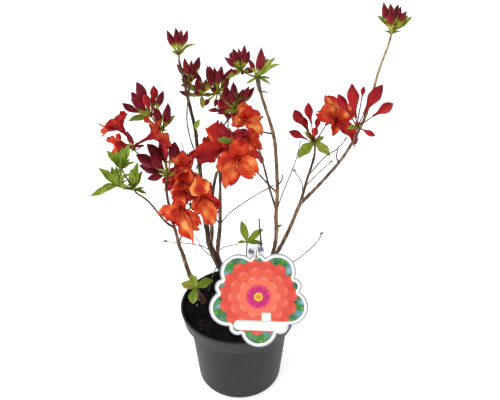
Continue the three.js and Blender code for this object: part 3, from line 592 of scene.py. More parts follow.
# Stage, in metres: the floor, the sky and the lamps by name, place, power and size
FLOOR = {"half": 14.0, "grey": 0.93, "glow": 0.47}
SKY_STRENGTH = 0.72
LAMPS = [
    ("key", (-1.4, -1.9, 2.4), 24, 1.5),
    ("fill", (1.9, -1.2, 1.6), 8, 1.6),
    ("side", (-2.2, 0.6, 0.9), 36, 1.2),
]
LAMPS_AIM = np.array([0, 0, 0.3])


def unit(vector):
    return vector / np.linalg.norm(vector)


def blend(start, end, share):
    return start + (end - start) * share


def smooth(value, low=0.0, high=1.0):
    share = np.clip((np.asarray(value, float) - low) / (high - low), 0, 1)
    return share * share * (3 - 2 * share)


def bump(value, centre, width):
    return np.exp(-(((value - centre) / width) ** 2))


def heading(bearing, lift):
    turn, rise = math.radians(bearing), math.radians(lift)
    return np.array([math.cos(rise) * math.cos(turn), math.cos(rise) * math.sin(turn), math.sin(rise)])


def ring_turns(count):
    """Evenly spaced turns round a ring, in radians."""
    return np.arange(count) / count * 2 * math.pi


def on_circle(turns):
    return np.stack([np.cos(turns), np.sin(turns)], -1)


def guide_for(direction):
    """A fixed direction that lies well away from another one."""
    return RIGHT if abs(direction[0]) < 0.7 else AWAY


def square_to(direction, guide):
    """The direction nearest to a guide that is square to another direction."""
    return unit(guide - direction * guide.dot(direction))


def leaning(axis, side, other, lean, turn):
    """A direction that leans away from an axis, turned round it."""
    return (axis * math.cos(lean) + side * math.sin(lean) * math.cos(turn)
            + other * math.sin(lean) * math.sin(turn))


def seeded_random(seed):
    """The source's own random numbers, so that buds stand where the solids' buds stand."""
    mask = 0xFFFFFFFF
    state = seed

    def draw():
        nonlocal state
        state = (state + 0x6D2B79F5) & mask
        mixed = ((state ^ (state >> 15)) * (state | 1)) & mask
        mixed ^= (mixed + (((mixed ^ (mixed >> 7)) * (mixed | 61)) & mask)) & mask
        return (mixed ^ (mixed >> 14)) / (mask + 1)

    return draw


def curve_point(points, share):
    """A point on the smooth curve through points, where share runs from 0 to 1."""
    place = share * (len(points) - 1)
    first = min(int(place), len(points) - 2)
    rest = place - first
    start, end = points[first], points[first + 1]
    before = points[first - 1] if first > 0 else 2 * start - end
    after = points[first + 2] if first + 2 < len(points) else 2 * end - start
    leave, arrive = (end - before) / 2, (after - start) / 2
    return (start + leave * rest + (3 * (end - start) - 2 * leave - arrive) * rest**2
            + (2 * (start - end) + leave + arrive) * rest**3)


def curve_points(points, count):
    points = [np.array(point, float) for point in points]
    return np.array([curve_point(points, i / (count - 1)) for i in range(count)])


def path_length(points):
    return float(np.linalg.norm(np.diff(points, axis=0), axis=1).sum())


def walked(lean, step):
    """How far out and how far on a path has come at each of its points, by its lean there."""
    return [np.concatenate([[0], np.cumsum(part(lean)[:-1] * step)]) for part in (np.sin, np.cos)]


def tinted(values, highest, lowest=0):
    """Values as the whole numbers of tints."""
    return np.clip(np.round(values), lowest, highest).astype(int)


class Piece:
    """Small shapes of one kind, gathered and then joined into one mesh."""

    def __init__(self, name, slot, materials):
        self.name, self.slot, self.materials = name, slot, materials
        self.points, self.quads, self.triangles = [], [], []
        self.quad_tints, self.triangle_tints = [], []
        self.count = 0

    def add(self, points, quads, tints, triangles=None, triangle_tint=0):
        self.quads.append(quads + self.count)
        self.quad_tints.append(np.broadcast_to(tints, len(quads)))
        if triangles is not None:
            self.triangles.append(triangles + self.count)
            self.triangle_tints.append(np.full(len(triangles), triangle_tint))
        self.points.append(points)
        self.count += len(points)

    def build(self, replaced, smooth_faces=True):
        corners = np.concatenate([faces.ravel() for faces in self.quads + self.triangles])
        four = sum(len(faces) for faces in self.quads)
        three = sum(len(faces) for faces in self.triangles)
        sizes = np.concatenate([np.full(four, 4), np.full(three, 3)])
        starts = np.concatenate([[0], np.cumsum(sizes)[:-1]])
        tints = np.concatenate(self.quad_tints + self.triangle_tints)
        mesh = bpy.data.meshes.new(self.name)
        mesh.vertices.add(self.count)
        mesh.vertices.foreach_set("co", (np.concatenate(self.points) * MM).ravel())
        mesh.loops.add(len(corners))
        mesh.loops.foreach_set("vertex_index", corners.astype(np.int32))
        mesh.polygons.add(len(sizes))
        mesh.polygons.foreach_set("loop_start", starts.astype(np.int32))
        mesh.polygons.foreach_set("material_index", tints.astype(np.int32))
        mesh.polygons.foreach_set("use_smooth", np.full(len(sizes), smooth_faces))
        mesh.update(calc_edges=True)
        mesh.validate()
        for material in self.materials:
            mesh.materials.append(material)
        shown = bpy.data.objects.new(self.name, mesh)
        bpy.context.scene.collection.objects.link(shown)
        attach(shown, BODY)
        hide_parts(*replaced)


def grid_quads(rows, columns, closed=False):
    """Faces of a grid of points, row by row. A closed grid joins its last column to its first."""
    row, column = np.meshgrid(np.arange(rows - 1), np.arange(columns if closed else columns - 1),
                              indexing="ij")
    following = (column + 1) % columns
    low, high = row * columns, (row + 1) * columns
    return np.stack([low + column, low + following, high + following, high + column], -1).reshape(-1, 4)


def face_shares(rows, columns):
    """How far along and across (-1 to 1) the middle of each face of a grid lies."""
    along = (np.arange(rows - 1) + 0.5) / (rows - 1)
    across = (np.arange(columns - 1) + 0.5) / (columns - 1) * 2 - 1
    along, across = np.meshgrid(along, across, indexing="ij")
    return along.ravel(), across.ravel()


def sweep(centres):
    """Two directions across a path at each of its points, turned as little as possible."""
    tangents = np.gradient(centres, axis=0)
    tangents /= np.linalg.norm(tangents, axis=1)[:, None]
    guide = guide_for(tangents[0])
    sides = []
    for tangent in tangents:
        guide = square_to(tangent, guide)
        sides.append(guide)
    sides = np.array(sides)
    return sides, np.cross(tangents, sides)


def add_tube(piece, centres, radii, sides, tints=0, end_tint=0, shifts=None):
    """A closed tube. Radii, and shifts along the path, are one for each ring and side."""
    radii = np.asarray(radii, float)
    if radii.ndim == 1:
        radii = np.repeat(radii[:, None], sides, axis=1)
    across, other = sweep(centres)
    turns = ring_turns(sides)
    points = (centres[:, None] + across[:, None] * (radii * np.cos(turns))[..., None]
              + other[:, None] * (radii * np.sin(turns))[..., None])
    if shifts is not None:
        points = points + np.cross(across, other)[:, None] * shifts[..., None]
    rings = len(centres)
    ends = np.array([centres[0], centres[-1]])
    ring = np.arange(sides)
    following = (ring + 1) % sides
    last = (rings - 1) * sides
    caps = [np.stack([following, ring, np.full(sides, rings * sides)], -1),
            np.stack([ring + last, following + last, np.full(sides, rings * sides + 1)], -1)]
    piece.add(np.concatenate([points.reshape(-1, 3), ends]), grid_quads(rings, sides, True), tints,
              np.concatenate(caps), end_tint)


def add_sheet(piece, top, thickness, top_tints, under_tints, edge_tint):
    """A thin closed sheet under a grid of points, with its own tints above and below."""
    rows, columns = top.shape[:2]
    normals = np.cross(np.gradient(top, axis=1), np.gradient(top, axis=0))
    normals /= np.maximum(np.linalg.norm(normals, axis=2, keepdims=True), 1e-9)
    under = top - normals * thickness
    quads = grid_quads(rows, columns)
    offset = rows * columns
    index = np.arange(offset).reshape(rows, columns)
    loop = np.concatenate([index[0, :-1], index[:-1, -1], index[-1, :0:-1], index[:0:-1, 0]])
    following = np.roll(loop, -1)
    rim = np.stack([following, loop, loop + offset, following + offset], -1)
    piece.add(np.concatenate([top.reshape(-1, 3), under.reshape(-1, 3)]),
              np.concatenate([quads, quads[:, ::-1] + offset, rim]),
              np.concatenate([top_tints, under_tints, np.full(len(rim), edge_tint)]))


def channels_of(code):
    return [int(code[i:i + 2], 16) for i in (1, 3, 5)]


def graded(codes, count):
    """A row of colours, as hex codes, drawn out to more colours in even steps."""
    places = np.linspace(0, len(codes) - 1, count)
    channels = zip(*map(channels_of, codes))
    drawn = [np.interp(places, np.arange(len(codes)), channel) for channel in channels]
    return ["#" + "".join(f"{int(round(value)):02X}" for value in colour) for colour in zip(*drawn)]


def paint(code):
    """A colour written as a hex code, as linear light."""
    shares = [value / 255 for value in channels_of(code)]
    return [c / 12.92 if c <= 0.04045 else ((c + 0.055) / 1.055) ** 2.4 for c in shares] + [1.0]


class Look:
    """A material whose colour, gloss and relief can follow noise."""

    def __init__(self, name, colour, roughness, specular=0.5):
        self.material = bpy.data.materials.new(name)
        self.material.use_nodes = True
        self.nodes, self.links = self.material.node_tree.nodes, self.material.node_tree.links
        self.inputs = self.nodes["Principled BSDF"].inputs
        self.inputs["Base Color"].default_value = colour
        self.inputs["Roughness"].default_value = roughness
        self.inputs["Specular IOR Level"].default_value = specular

    def noise(self, scale, detail, stretch=(1, 1, 1)):
        """Noise in the part's own frame, where scale is features for each metre."""
        place = self.nodes.new("ShaderNodeTexCoord")
        mapping = self.nodes.new("ShaderNodeMapping")
        mapping.inputs["Scale"].default_value = stretch
        noise = self.nodes.new("ShaderNodeTexNoise")
        noise.inputs["Scale"].default_value = scale
        noise.inputs["Detail"].default_value = detail
        self.links.new(place.outputs["Object"], mapping.inputs["Vector"])
        self.links.new(mapping.outputs["Vector"], noise.inputs["Vector"])
        return noise.outputs["Fac"]

    def colours(self, source, places, codes):
        """A base colour that runs through the codes as the source grows."""
        ramp = self.nodes.new("ShaderNodeValToRGB")
        stops = ramp.color_ramp.elements
        while len(stops) < len(codes):
            stops.new(0.5)
        for stop, place, code in zip(stops, places, codes):
            stop.position, stop.color = place, paint(code)
        self.links.new(source, ramp.inputs["Fac"])
        self.links.new(ramp.outputs["Color"], self.inputs["Base Color"])

    def relief(self, height, strength, distance):
        bumps = self.nodes.new("ShaderNodeBump")
        bumps.inputs["Strength"].default_value = strength
        bumps.inputs["Distance"].default_value = distance
        self.links.new(height, bumps.inputs["Height"])
        self.links.new(bumps.outputs["Normal"], self.inputs["Normal"])

    def gloss(self, source, low, high):
        spread = self.nodes.new("ShaderNodeMapRange")
        spread.inputs["To Min"].default_value = low
        spread.inputs["To Max"].default_value = high
        self.links.new(source, spread.inputs["Value"])
        self.links.new(spread.outputs["Result"], self.inputs["Roughness"])


def tissue_materials(name, tints, roughness, specular, crinkle):
    """Plain base colours for plant tissue, with a fine crinkle and an uneven gloss."""
    materials = []
    for i, tint in enumerate(tints):
        look = Look(f"{name}_{i}", paint(tint), roughness, specular)
        noise = look.noise(900, 3)
        look.gloss(noise, roughness - 0.1, roughness + 0.12)
        look.relief(noise, crinkle, 0.0006)
        materials.append(look.material)
    return materials


def bark_material(name):
    look = Look(f"bark_{name}", paint(BARK_TINTS[name][1]), 0.85, 0.25)
    streaks = look.noise(260, 6, (1, 1, 0.22))
    look.colours(streaks, (0.3, 0.5, 0.68), BARK_TINTS[name])
    look.gloss(streaks, 0.7, 0.98)
    look.relief(look.noise(1100, 4, (1, 1, 0.35)), 0.55, 0.0012)
    return look.material


def pot_material():
    look = Look("pot_plastic", paint(POT_TINTS[1]), 0.5, 0.24)
    clouds = look.noise(14, 5)
    look.colours(clouds, (0.3, 0.55, 0.8), POT_TINTS)
    look.gloss(clouds, 0.4, 0.6)
    look.relief(look.noise(1500, 3), 0.25, 0.0004)
    return look.material


def compost_material():
    look = Look("compost", paint(COMPOST_TINTS[1]), 0.95, 0.2)
    crumbs = look.noise(420, 8)
    look.colours(crumbs, (0.35, 0.58, 0.78), COMPOST_TINTS)
    look.relief(crumbs, 0.9, 0.003)
    return look.material


def print_material():
    """The printed ground: soft patches of teal, green and pale blue."""
    look = Look("print_ground", paint(GROUND_TINTS[1]), 0.35)
    look.colours(look.noise(55, 2), (0.32, 0.44, 0.52, 0.6, 0.72), GROUND_TINTS)
    return look.material


def plain_material(name, code, roughness, metallic=0.0):
    look = Look(name, paint(code), roughness)
    look.inputs["Metallic"].default_value = metallic
    look.gloss(look.noise(60, 3), roughness - 0.08, roughness + 0.1)
    return look.material


# Trunk and boughs

def bark_relief(rng, distances, length):
    """How far the bark stands out, as a share of the radius, for each ring and side."""
    turns = ring_turns(LIMB_SIDES)
    along = distances[:, None]
    relief = np.zeros((len(distances), LIMB_SIDES))
    for lobes in RIDGES["lobes"]:
        for wave in RIDGES["waves"]:
            depth = RIDGES["depth"] / (0.6 + 0.4 * lobes) * rng.uniform(0.5, 1)
            phase = rng.uniform(0, 2 * math.pi, 2)
            slant = along / wave * rng.uniform(-1, 1)
            relief += (depth * np.cos(lobes * turns + phase[0] + slant)
                       * np.cos(along * 2 * math.pi / wave + phase[1]))
    for i in range(int(length / KNOTS["spacing"])):
        at = (i + rng.uniform(0.2, 0.8)) * KNOTS["spacing"]
        facing = np.clip(np.cos(turns - rng.uniform(0, 2 * math.pi)), 0, 1)
        relief += bump(along, at, KNOTS["length"]) * (KNOTS["round"] + KNOTS["side"] * facing**3)
    return relief - relief.mean()


def limb_path(limb, paths):
    points = [np.array(point, float) for point in limb["points"]]
    if "from" in limb:
        parent, share = limb["from"]
        points.insert(0, curve_point(paths[parent], share))
    return points


def add_limb(piece, points, limb, rng):
    rings = max(8, int(path_length(curve_points(points, 60)) / RING_STEP))
    centres = curve_points(points, rings)
    length = path_length(centres)
    distances = np.linspace(0, length, rings)
    shares = distances / length
    radius = blend(*limb["radii"], shares) * (1 + (limb.get("flare", 1) - 1) * (1 - shares) ** 3)
    if "from" in limb:
        radius *= 1 + FORK["swell"] * np.exp(-distances / FORK["length"])
    relief = bark_relief(rng, distances, length)
    ribs = np.cos(4 * ring_turns(LIMB_SIDES) + 0.7)
    relief += limb.get("ribs", 0) * ribs * ((1 - shares) ** 1.5)[:, None]
    fade = smooth(distances, 0, SWAY["fade"]) * smooth(length - distances, 0, SWAY["fade"])
    sway = np.stack([np.sin(distances / wave + rng.uniform(0, 6)) for wave in SWAY["waves"]], -1)
    centres[:, :2] += sway * SWAY["reach"] * fade[:, None]
    if "from" not in limb:
        centres[0, 2] -= FOOT_DEPTH
    tints = 0
    if len(piece.materials) > 1:
        ragged = shares[:-1, None] + rng.normal(0, 0.07, (rings - 1, LIMB_SIDES))
        tints = (ragged > BARK_CHANGE).astype(int).ravel()
    add_tube(piece, centres, radius[:, None] * (1 + relief), LIMB_SIDES, tints)


def build_limbs():
    """Builds the trunk and the boughs, a piece for each bark, and returns their paths."""
    paths = {}
    pieces = {
        bark: Piece(f"limbs_{bark}", slot, [BARKS[name] for name in TWO_BARKS.get(bark, (bark,))])
        for bark, slot in BARK_SLOTS.items()
    }
    for number, (name, limb) in enumerate(LIMBS.items()):
        paths[name] = limb_path(limb, paths)
        rng = np.random.default_rng(SEEDS["limbs"] + number)
        add_limb(pieces[limb["bark"]], paths[name], limb, rng)
    for bark, piece in pieces.items():
        piece.build([name for name, limb in LIMBS.items() if limb["bark"] == bark])
    return paths


# Buds, flowers, leaves and twigs

def placed(points, base, facing, up=UP):
    """Points of a shape that stands on its own Y axis, turned to face a direction."""
    flat = np.cross(facing, up)
    flat = unit(flat) if np.linalg.norm(flat) > 0.01 else RIGHT
    return base + points @ np.array([flat, facing, np.cross(flat, facing)])


def add_stalk(piece, start, end, radii, bend=0.0, tint=0, sides=7, steps=7):
    middle = (start + end) / 2
    middle[2] -= np.linalg.norm(end - start) * bend
    centres = curve_points([start, middle, end], steps)
    add_tube(piece, centres, np.linspace(*radii, steps), sides, tint, tint)


def bud_tints(kind, turns, shares, furrows, green, rng):
    """Tints of a bud's faces: painted highlight on the ridges, painted shade in the furrows, painted
    light on one side, deeper tips and a green foot.
    """
    shape = BUD_KINDS[kind]
    along = np.repeat(shares[:-1], BUD_SIDES)
    # Painted light on one side of the bud, turned at random
    lit = 0.5 + 0.5 * np.cos(turns + rng.uniform(0, 6))
    streaks = rng.normal(0, 0.3, BUD_SIDES)
    # Painted highlight on the ridges and painted shade in the furrows, with the lit side and streaks
    light = 0.9 + (furrows[:-1] * 1.1 + lit * 0.8 + streaks).ravel() + rng.uniform(-0.6, 0.5)
    light += rng.uniform(-0.15, 0.15, len(along)) + 0.6 * bump(along, 0.45, 0.2)
    light -= 0.8 * smooth(along, 0.85, 1)
    if kind == "opening":
        light += 0.4 * smooth(along, 0.4, 0.9)
    tints = tinted(light / 4 * (BUD_STEPS - 1), BUD_STEPS - 1)
    foot = green * shape["foot"] * rng.uniform(0.7, 1.5) + 0.06 * (furrows[:-1].ravel() - 0.5)
    for share, tint in zip((1.7, 1.35, 1), BUD_FEET[shape["coat"]]):
        tints[along < foot * share] = tint
    return tints


def add_bud(kind, root, base, tip, rng, green=1.0):
    """A bud of furled petals on its stalk, twisted a little. An opening one parts at its tip."""
    shape = BUD_KINDS[kind]
    coat = shape["coat"]
    outline = np.array(shape["outline"], float)
    shares = np.linspace(0, 1, BUD_RINGS)
    profile = np.interp(shares, outline[:, 0], outline[:, 1])
    profile[1:-1] = (profile[:-2] + 2 * profile[1:-1] + profile[2:]) / 4
    length = np.linalg.norm(tip - base)
    direction = unit(tip - base)
    aside = unit(np.cross(direction, rng.normal(size=3)))
    bow = np.sin(shares * math.pi * 0.8) * (length * rng.uniform(-BUD_BEND, BUD_BEND))
    centres = base + (tip - base) * shares[:, None] + aside * bow[:, None]
    turns = ring_turns(BUD_SIDES)
    twist = rng.uniform(0, 6) + rng.uniform(0.5, 1.6) * shares[:, None]
    furrows = np.abs(np.cos(PETALS / 2 * (turns + twist)))
    depth = shape["furrow"] * (0.5 + 0.9 * smooth(shares, 0.4, 1))[:, None]
    radii = length * shape["width"] / 2 * rng.uniform(0.88, 1.1) * profile[:, None]
    radii = radii * (1 - depth + depth * furrows) * (1 + 0.05 * np.sin(2 * turns + twist))
    reach = furrows * (0.7 + 0.3 * np.sin(turns + twist[-1])) - 0.5
    shifts = shape["part"] * length * reach * smooth(shares, 0.66, 1)[:, None]
    tints = bud_tints(kind, turns, shares, furrows, green, rng)
    add_tube(buds[coat], centres, radii, BUD_SIDES, tints, 1 if kind in PARTED else STALK_TINT, shifts)
    if coat == "young":
        add_stalk(buds[coat], root, base + direction * 0.8, (1.0, 1.15), 0.04, BUD_FEET[coat][-1])
    else:
        add_stalk(buds[coat], root, base + direction * 0.8, (0.85, 0.62), 0.04, STALK_TINT)
    if kind not in PARTED and rng.random() < LONG_STYLE_CHANCE:
        end = tip + direction * rng.uniform(1.5, 4) + aside
        add_stalk(buds[coat], tip - direction * 0.6, end, (0.22, 0.16), 0, BUD_STEPS - 1, 5, 4)


def petal_outline(along, sharp):
    """Half widths of a petal's lobe as shares of the widest: from a round tip to a pointed one."""
    beyond = along > LOBE_WIDEST
    share = (along - LOBE_WIDEST) / np.where(beyond, 1 - LOBE_WIDEST, 0.85)
    return np.clip(1 - share**2, 0.02, 1) ** np.where(beyond, 0.5 + 0.7 * sharp, 0.5)


def petal_lean(along, open_share, rng):
    """How far a petal leans out along its length, in radians."""
    (throat, throat_open), (blade, blade_open) = PETAL_LEAN["throat"], PETAL_LEAN["blade"]
    throat += throat_open * open_share + rng.uniform(-8, 8)
    blade += blade_open * open_share + rng.uniform(-12, 14)
    tip = (rng.uniform(-30, 50) + PETAL_LEAN["tip"]) * open_share
    lean = PETAL_LEAN["root"] + throat * smooth(along, 0, 0.35)
    return np.radians(lean + blade * smooth(along, 0.3, 0.8) + tip * along**3)


def petal_grid(open_share, length, width_share, turn, calm, rng):
    """A petal from the throat to its tip, in the flower's own frame: Y faces out. Returns its
    points and how much each face lies on a ridge."""
    along = np.linspace(0, 1, PETAL_ROWS) ** 0.92
    v, u = np.meshgrid(along, np.linspace(-1, 1, PETAL_COLUMNS), indexing="ij")
    lean = petal_lean(along, open_share, rng)
    out, on = walked(lean, np.diff(along) * length)
    reach, height = FLOWER["throat"] / 2 + out, FLOWER["tube"] + on

    # Width: joined roots that part into a lobe with a ragged edge, round the funnel's wall
    joined = reach * math.tan(math.pi / PETALS) * ROOT_OVERLAP
    lobe = length * width_share * petal_outline(along, rng.uniform(-0.3, 0.2))
    width = blend(joined, lobe, smooth(along, 0.2, 0.55))
    wall = blend(reach, WALL_RADIUS, smooth(along, 0.1, 0.6))[:, None]
    phase = rng.uniform(0, 2 * math.pi, 8)
    edge = np.sign(u) * EDGE_SHIFT
    (wide, slow), (fine, fast) = RAGGED
    ragged = wide * np.sin(slow * v + phase[0] + edge) + fine * np.sin(fast * v + phase[4] + 2 * edge)
    width = width[:, None] * (1 + calm * ragged * smooth(v, 0.3, 0.65))
    aside = wall * np.sin(u * width / wall)

    # Lift: the wall's curve, frilled edges, a groove along the middle, a twist and crumples
    lift = wall * (1 - np.cos(u * width / wall))
    (wide, slow), (fine, fast) = FRILL
    frill = wide * np.sin(slow * v + phase[1] + edge) + fine * np.sin(fast * v + phase[2] + edge)
    lift += calm * rng.uniform(1.0, 2.2) * frill * np.abs(u) ** 2 * smooth(v, 0.25, 0.7)
    lift -= GROOVE * bump(u, 0, 0.22) * smooth(v, 0.08, 0.35)
    lift += 0.3 * np.cos(4 * math.pi * u) * smooth(v, 0.1, 0.4)
    lift += rng.uniform(1, 6) * u * np.sin(phase[3]) * v**1.5
    crumple = np.sin(7 * v + 3 * u + phase[5]) + np.sin(10 * v - 4 * u + phase[6]) * 0.7
    lift += CRUMPLE * calm * crumple * smooth(v, 0.2, 0.6)
    aside += (rng.uniform(-5, 5) * along**2)[:, None]

    (deep, few), (slight, many) = NOTCHES
    notch = deep * np.cos(few * math.pi * u + phase[2]) + slight * np.cos(many * math.pi * u + phase[7])
    tip = 1 + (TIP_ROUND * (1 - u**2) + calm * notch) * smooth(v, 0.65, 1)
    out = np.array([math.sin(turn), 0, math.cos(turn)])
    side = -np.array([math.cos(turn), 0, -math.sin(turn)])
    normal = -np.cos(lean)[:, None] * out + np.sin(lean)[:, None] * AWAY
    spine = (reach[:, None] * tip)[..., None] * out + height[:, None, None] * AWAY
    # How far each face stands out of its row, which the tints turn into painted light on the ridges and
    # painted shade in the folds
    fold = lift - lift.mean(axis=1)[:, None]
    fold = (fold[:-1, :-1] + fold[1:, :-1] + fold[:-1, 1:] + fold[1:, 1:]) / 4
    return spine + aside[..., None] * side + lift[..., None] * normal[:, None], fold.ravel()


def petal_tints(golden, tone, fold, rng):
    """Tints of the faces inside and outside a petal: painted shade in the throat and in the folds,
    painted light on the ridges, red outside, and by its tone a pale middle, golden margins or
    crimson all over, which on far petals also paints their shaded inside."""
    along, across = face_shares(PETAL_ROWS, PETAL_COLUMNS)
    margin = np.abs(across)
    fold = np.clip(fold, -2, 2)
    veins = np.cos(9 * math.pi * across + rng.uniform(0, 6)) * smooth(along, 0.1, 0.5)
    patch = np.sin(5 * along + 2 * across + rng.uniform(0, 6)) * np.sin(4 * across + rng.uniform(0, 6))
    inside = 3.0 + 1.9 * golden + 0.9 * bump(across, 0, 0.45) * smooth(along, 0.2, 0.6) + 0.5 * patch
    # Painted shade in the throat, where the petal meets the funnel, and darker margins
    inside -= 1.5 * bump(along, 0, 0.1) + 0.5 * smooth(margin, 0.7, 1)
    plain = rng.uniform(-0.5, 0.7)
    inside += TONES.get(tone, plain) * (bump(across, 0, 0.55) * bump(along, 0.55, 0.34))
    # A deep petal is crimson all over; on far petals its darkness also paints their shaded inside
    if tone == "deep":
        inside -= 1.4 + 1.2 * golden - 0.25 * veins
    if tone == "rim":
        inside += 2.4 * smooth(margin, 0.4, 0.9) * smooth(along, 0.15, 0.4)
    # Painted light on the ridges and painted shade in the folds, with the veins
    inside += 0.3 * veins + 0.75 * fold
    outside = (1.2 if tone == "deep" else 1.7) + 2.6 * golden * smooth(along, 0.1, 1)
    outside += 0.9 * smooth(margin, 0.3, 1) + 0.5 * patch
    # Outside: painted shade where the face is hollow and painted light where it stands out, with the
    # veins and a darker middle line
    outside += 0.25 * veins - 1.0 * bump(across, 0, 0.12) - 0.45 * fold
    shade = rng.uniform(-0.5, 0.5) + rng.uniform(-0.14, 0.14, len(along))
    limit = PETAL_STEPS - 1
    steps = limit / (len(PETAL_TINTS) - 1)
    return [tinted((light + shade) * steps, limit) for light in (inside, outside)]


def add_stamens(base, facing, open_share, side_turn, rng):
    """A few long bowed stamens with pale anthers, and a longer style with a dark knob. All
    lean to one side, which is a turn round the flower."""
    reach = STAMEN_REACH["shut"] + STAMEN_REACH["opening"] * open_share
    spread = STAMEN_SPREAD["shut"] + STAMEN_SPREAD["opening"] * open_share
    count = 1 + round(STAMENS * smooth(open_share, 0.35, 0.9))
    for i in range(count):
        style = i == count - 1
        turn = side_turn + rng.uniform(-0.5, 0.5)
        wide = spread * rng.uniform(0.7, 1.15)
        bow = reach * (1.15 if style else rng.uniform(0.7, 1.0))
        aside, upward = wide * math.sin(turn), wide * math.cos(turn)
        local = np.array([
            [0, FLOWER["tube"] - 3, 0],
            [aside * 0.2, FLOWER["tube"] + bow * 0.4, upward * 0.2],
            [aside * 0.6, FLOWER["tube"] + bow * 0.8, upward * 0.6],
            [aside, FLOWER["tube"] + bow, upward + 1.5],
        ])
        centres = curve_points(placed(local, base, facing), STAMEN_STEPS)
        add_tube(stamens, centres, np.linspace(*STAMEN_RADII, STAMEN_STEPS), 6, 0 if style else 1, 2)
        tip = unit(centres[-1] - centres[-2])
        anther = centres[-1] + tip * np.linspace(*ANTHER_SPAN, len(ANTHER))[:, None]
        add_tube(stamens, anther, ANTHER * (1.0 if style else 0.9), 7, 3 if style else 2, 2)


def add_bloom(mouth, facing, open_share, golden, heart, plan, rng):
    """A funnel flower: a red tube and five waved petals, one of them paler. A nearly shut one
    is an opening bud. A plan tells its petals one by one."""
    depth = FLOWER["depth"] * blend(FLOWER["closed_depth"], 1, open_share)
    base = mouth - facing * (FLOWER["tube"] + depth)
    if open_share < SHUT:
        add_bud("opening", heart, base, mouth + facing * 2, rng)
        add_stamens(base, facing, open_share, rng.uniform(-1, 1), rng)
        return
    length = PETAL_LENGTH["shut"] + PETAL_LENGTH["opening"] * open_share
    calm = blend(CALM_RED, 1, smooth(golden, 0.1, 0.6))
    if plan is None:
        plan = [[FIRST_PETAL + i * 360 / PETALS + rng.uniform(-PETAL_JITTER, PETAL_JITTER),
                 rng.uniform(*PETAL_SHARES), rng.uniform(*PETAL_HALF_WIDTHS),
                 "plain" if i else "pale", open_share] for i in range(PETALS)]
    along = np.linspace(0, 1, PETAL_ROWS)[:, None, None]
    for turn, share, half_width, tone, spread in plan:
        grid, fold = petal_grid(spread, length * share, half_width, math.radians(turn), calm, rng)
        inside, outside = petal_tints(golden, tone, fold, rng)
        world = placed(grid.reshape(-1, 3), base, facing).reshape(grid.shape)
        world = world - UP * (PETAL_SAG * along**2)
        thickness = PETAL_THICKNESS["root"] - PETAL_THICKNESS["loss"] * along
        add_sheet(petals, world, thickness, inside, outside, outside[len(outside) // 2])
    funnel = placed(np.outer(FUNNEL[:, 0], AWAY), base, facing)
    # The funnel, its ends lighter as painted light against the shade in the throat
    add_tube(petals, funnel, FUNNEL[:, 1], 15, *FUNNEL_TINTS)
    add_stalk(buds["ripe"], heart, base + facing * FLOWER["sunk"] * 0.4, (0.8, 0.75), 0.06, STALK_TINT)
    side_turn = next((turn for turn, _, _, tone, _ in plan if tone == "pale"), 180)
    add_stamens(base, facing, open_share, math.radians(side_turn), rng)


def leaf_tints(tint, grid, rng):
    """Tints of a leaf's faces above and below: a light rib, veins and a brown edge."""
    along, across = face_shares(*grid)
    light = LEAF_LIGHT[tint] + rng.uniform(-0.7, 0.7)
    veins = np.cos(26 * along - 9 * np.abs(across)) > 0.5
    top = light + 1.0 * bump(across, 0, 0.3) - 0.5 * veins + rng.uniform(-0.35, 0.35, len(along))
    under = light + 1.2 + rng.uniform(-0.3, 0.3, len(along))
    top, under = (tinted(light, LEAF_BROWN - 1) for light in (top, under))
    if tint == "olive":
        top, under = (np.where(tints <= 1, *LEAF_OLIVES) for tints in (top, under))
    browned = smooth(along, 0.6, 1) * 0.8 + smooth(np.abs(across), 0.5, 1) * 0.35
    top[browned + rng.uniform(-0.25, 0.25, len(top)) > LEAF_BROWNED[tint]] = LEAF_BROWN
    return top, under


def add_leaf(base, direction, length, face_up, tint, rng, width=LEAF_WIDTH, scale=False):
    """A leaf folded a little along its rib, bowed down towards its tip, waved at its edges. A
    bud scale is one with fewer faces."""
    rows, columns = grid = SCALE_GRID if scale else LEAF_GRID
    along = np.linspace(0, 1, rows)
    v, u = np.meshgrid(along, np.linspace(-1, 1, columns), indexing="ij")
    half = length * width / 2 * np.maximum(np.sin(math.pi * along**1.12) ** 0.9, 0.0)
    half += 0.4 * (1 - along) + 0.06
    droop = np.radians(rng.uniform(*LEAF_DROOPS))
    lean = droop * (along**1.4) * 1.5 - droop * 0.3
    fall, forward = walked(lean, length / (rows - 1))
    fold = rng.uniform(*LEAF_FOLDS)
    wave = rng.uniform(0, 6)
    aside = u * (half[:, None] * (1 + 0.07 * np.sin(13 * v + wave + np.sign(u))))
    height = fold * np.abs(u) * half[:, None]
    height += 0.03 * length * np.sin(8 * v + wave) * u**2 * smooth(v, 0, 0.3)
    height -= 0.012 * length * bump(u, 0, 0.16)
    twist = rng.uniform(-0.4, 0.4) * v
    local = np.stack([aside * np.cos(twist) - height * np.sin(twist), forward[:, None] + 0 * u,
                      height * np.cos(twist) + aside * np.sin(twist) - fall[:, None]], -1)
    world = placed(local.reshape(-1, 3), base, direction, face_up).reshape(local.shape)
    top, under = leaf_tints(tint, grid, rng)
    thickness = LEAF_THICKNESS["of_length"] * length + LEAF_THICKNESS["least"]
    add_sheet(bud_scales if scale else leaves, world[:, ::-1], thickness,
              top.reshape(rows - 1, -1)[:, ::-1].ravel(), under, 1)


def add_scales(centre, axis, size, rng):
    """Narrow green bud scales and bracts that stand round a heart."""
    side = unit(np.cross(axis, [0.3, 0.9, 0.2]))
    other = np.cross(axis, side)
    for i in range(SCALES):
        turn = i * SCALE_TURN + rng.uniform(-0.3, 0.3)
        out = leaning(axis, side, other, rng.uniform(*SCALE_LEAN), turn)
        add_leaf(centre - axis * 1.5, out, size * rng.uniform(*SCALE_SHARES), axis, "olive", rng,
                 rng.uniform(*SCALE_WIDTHS), True)


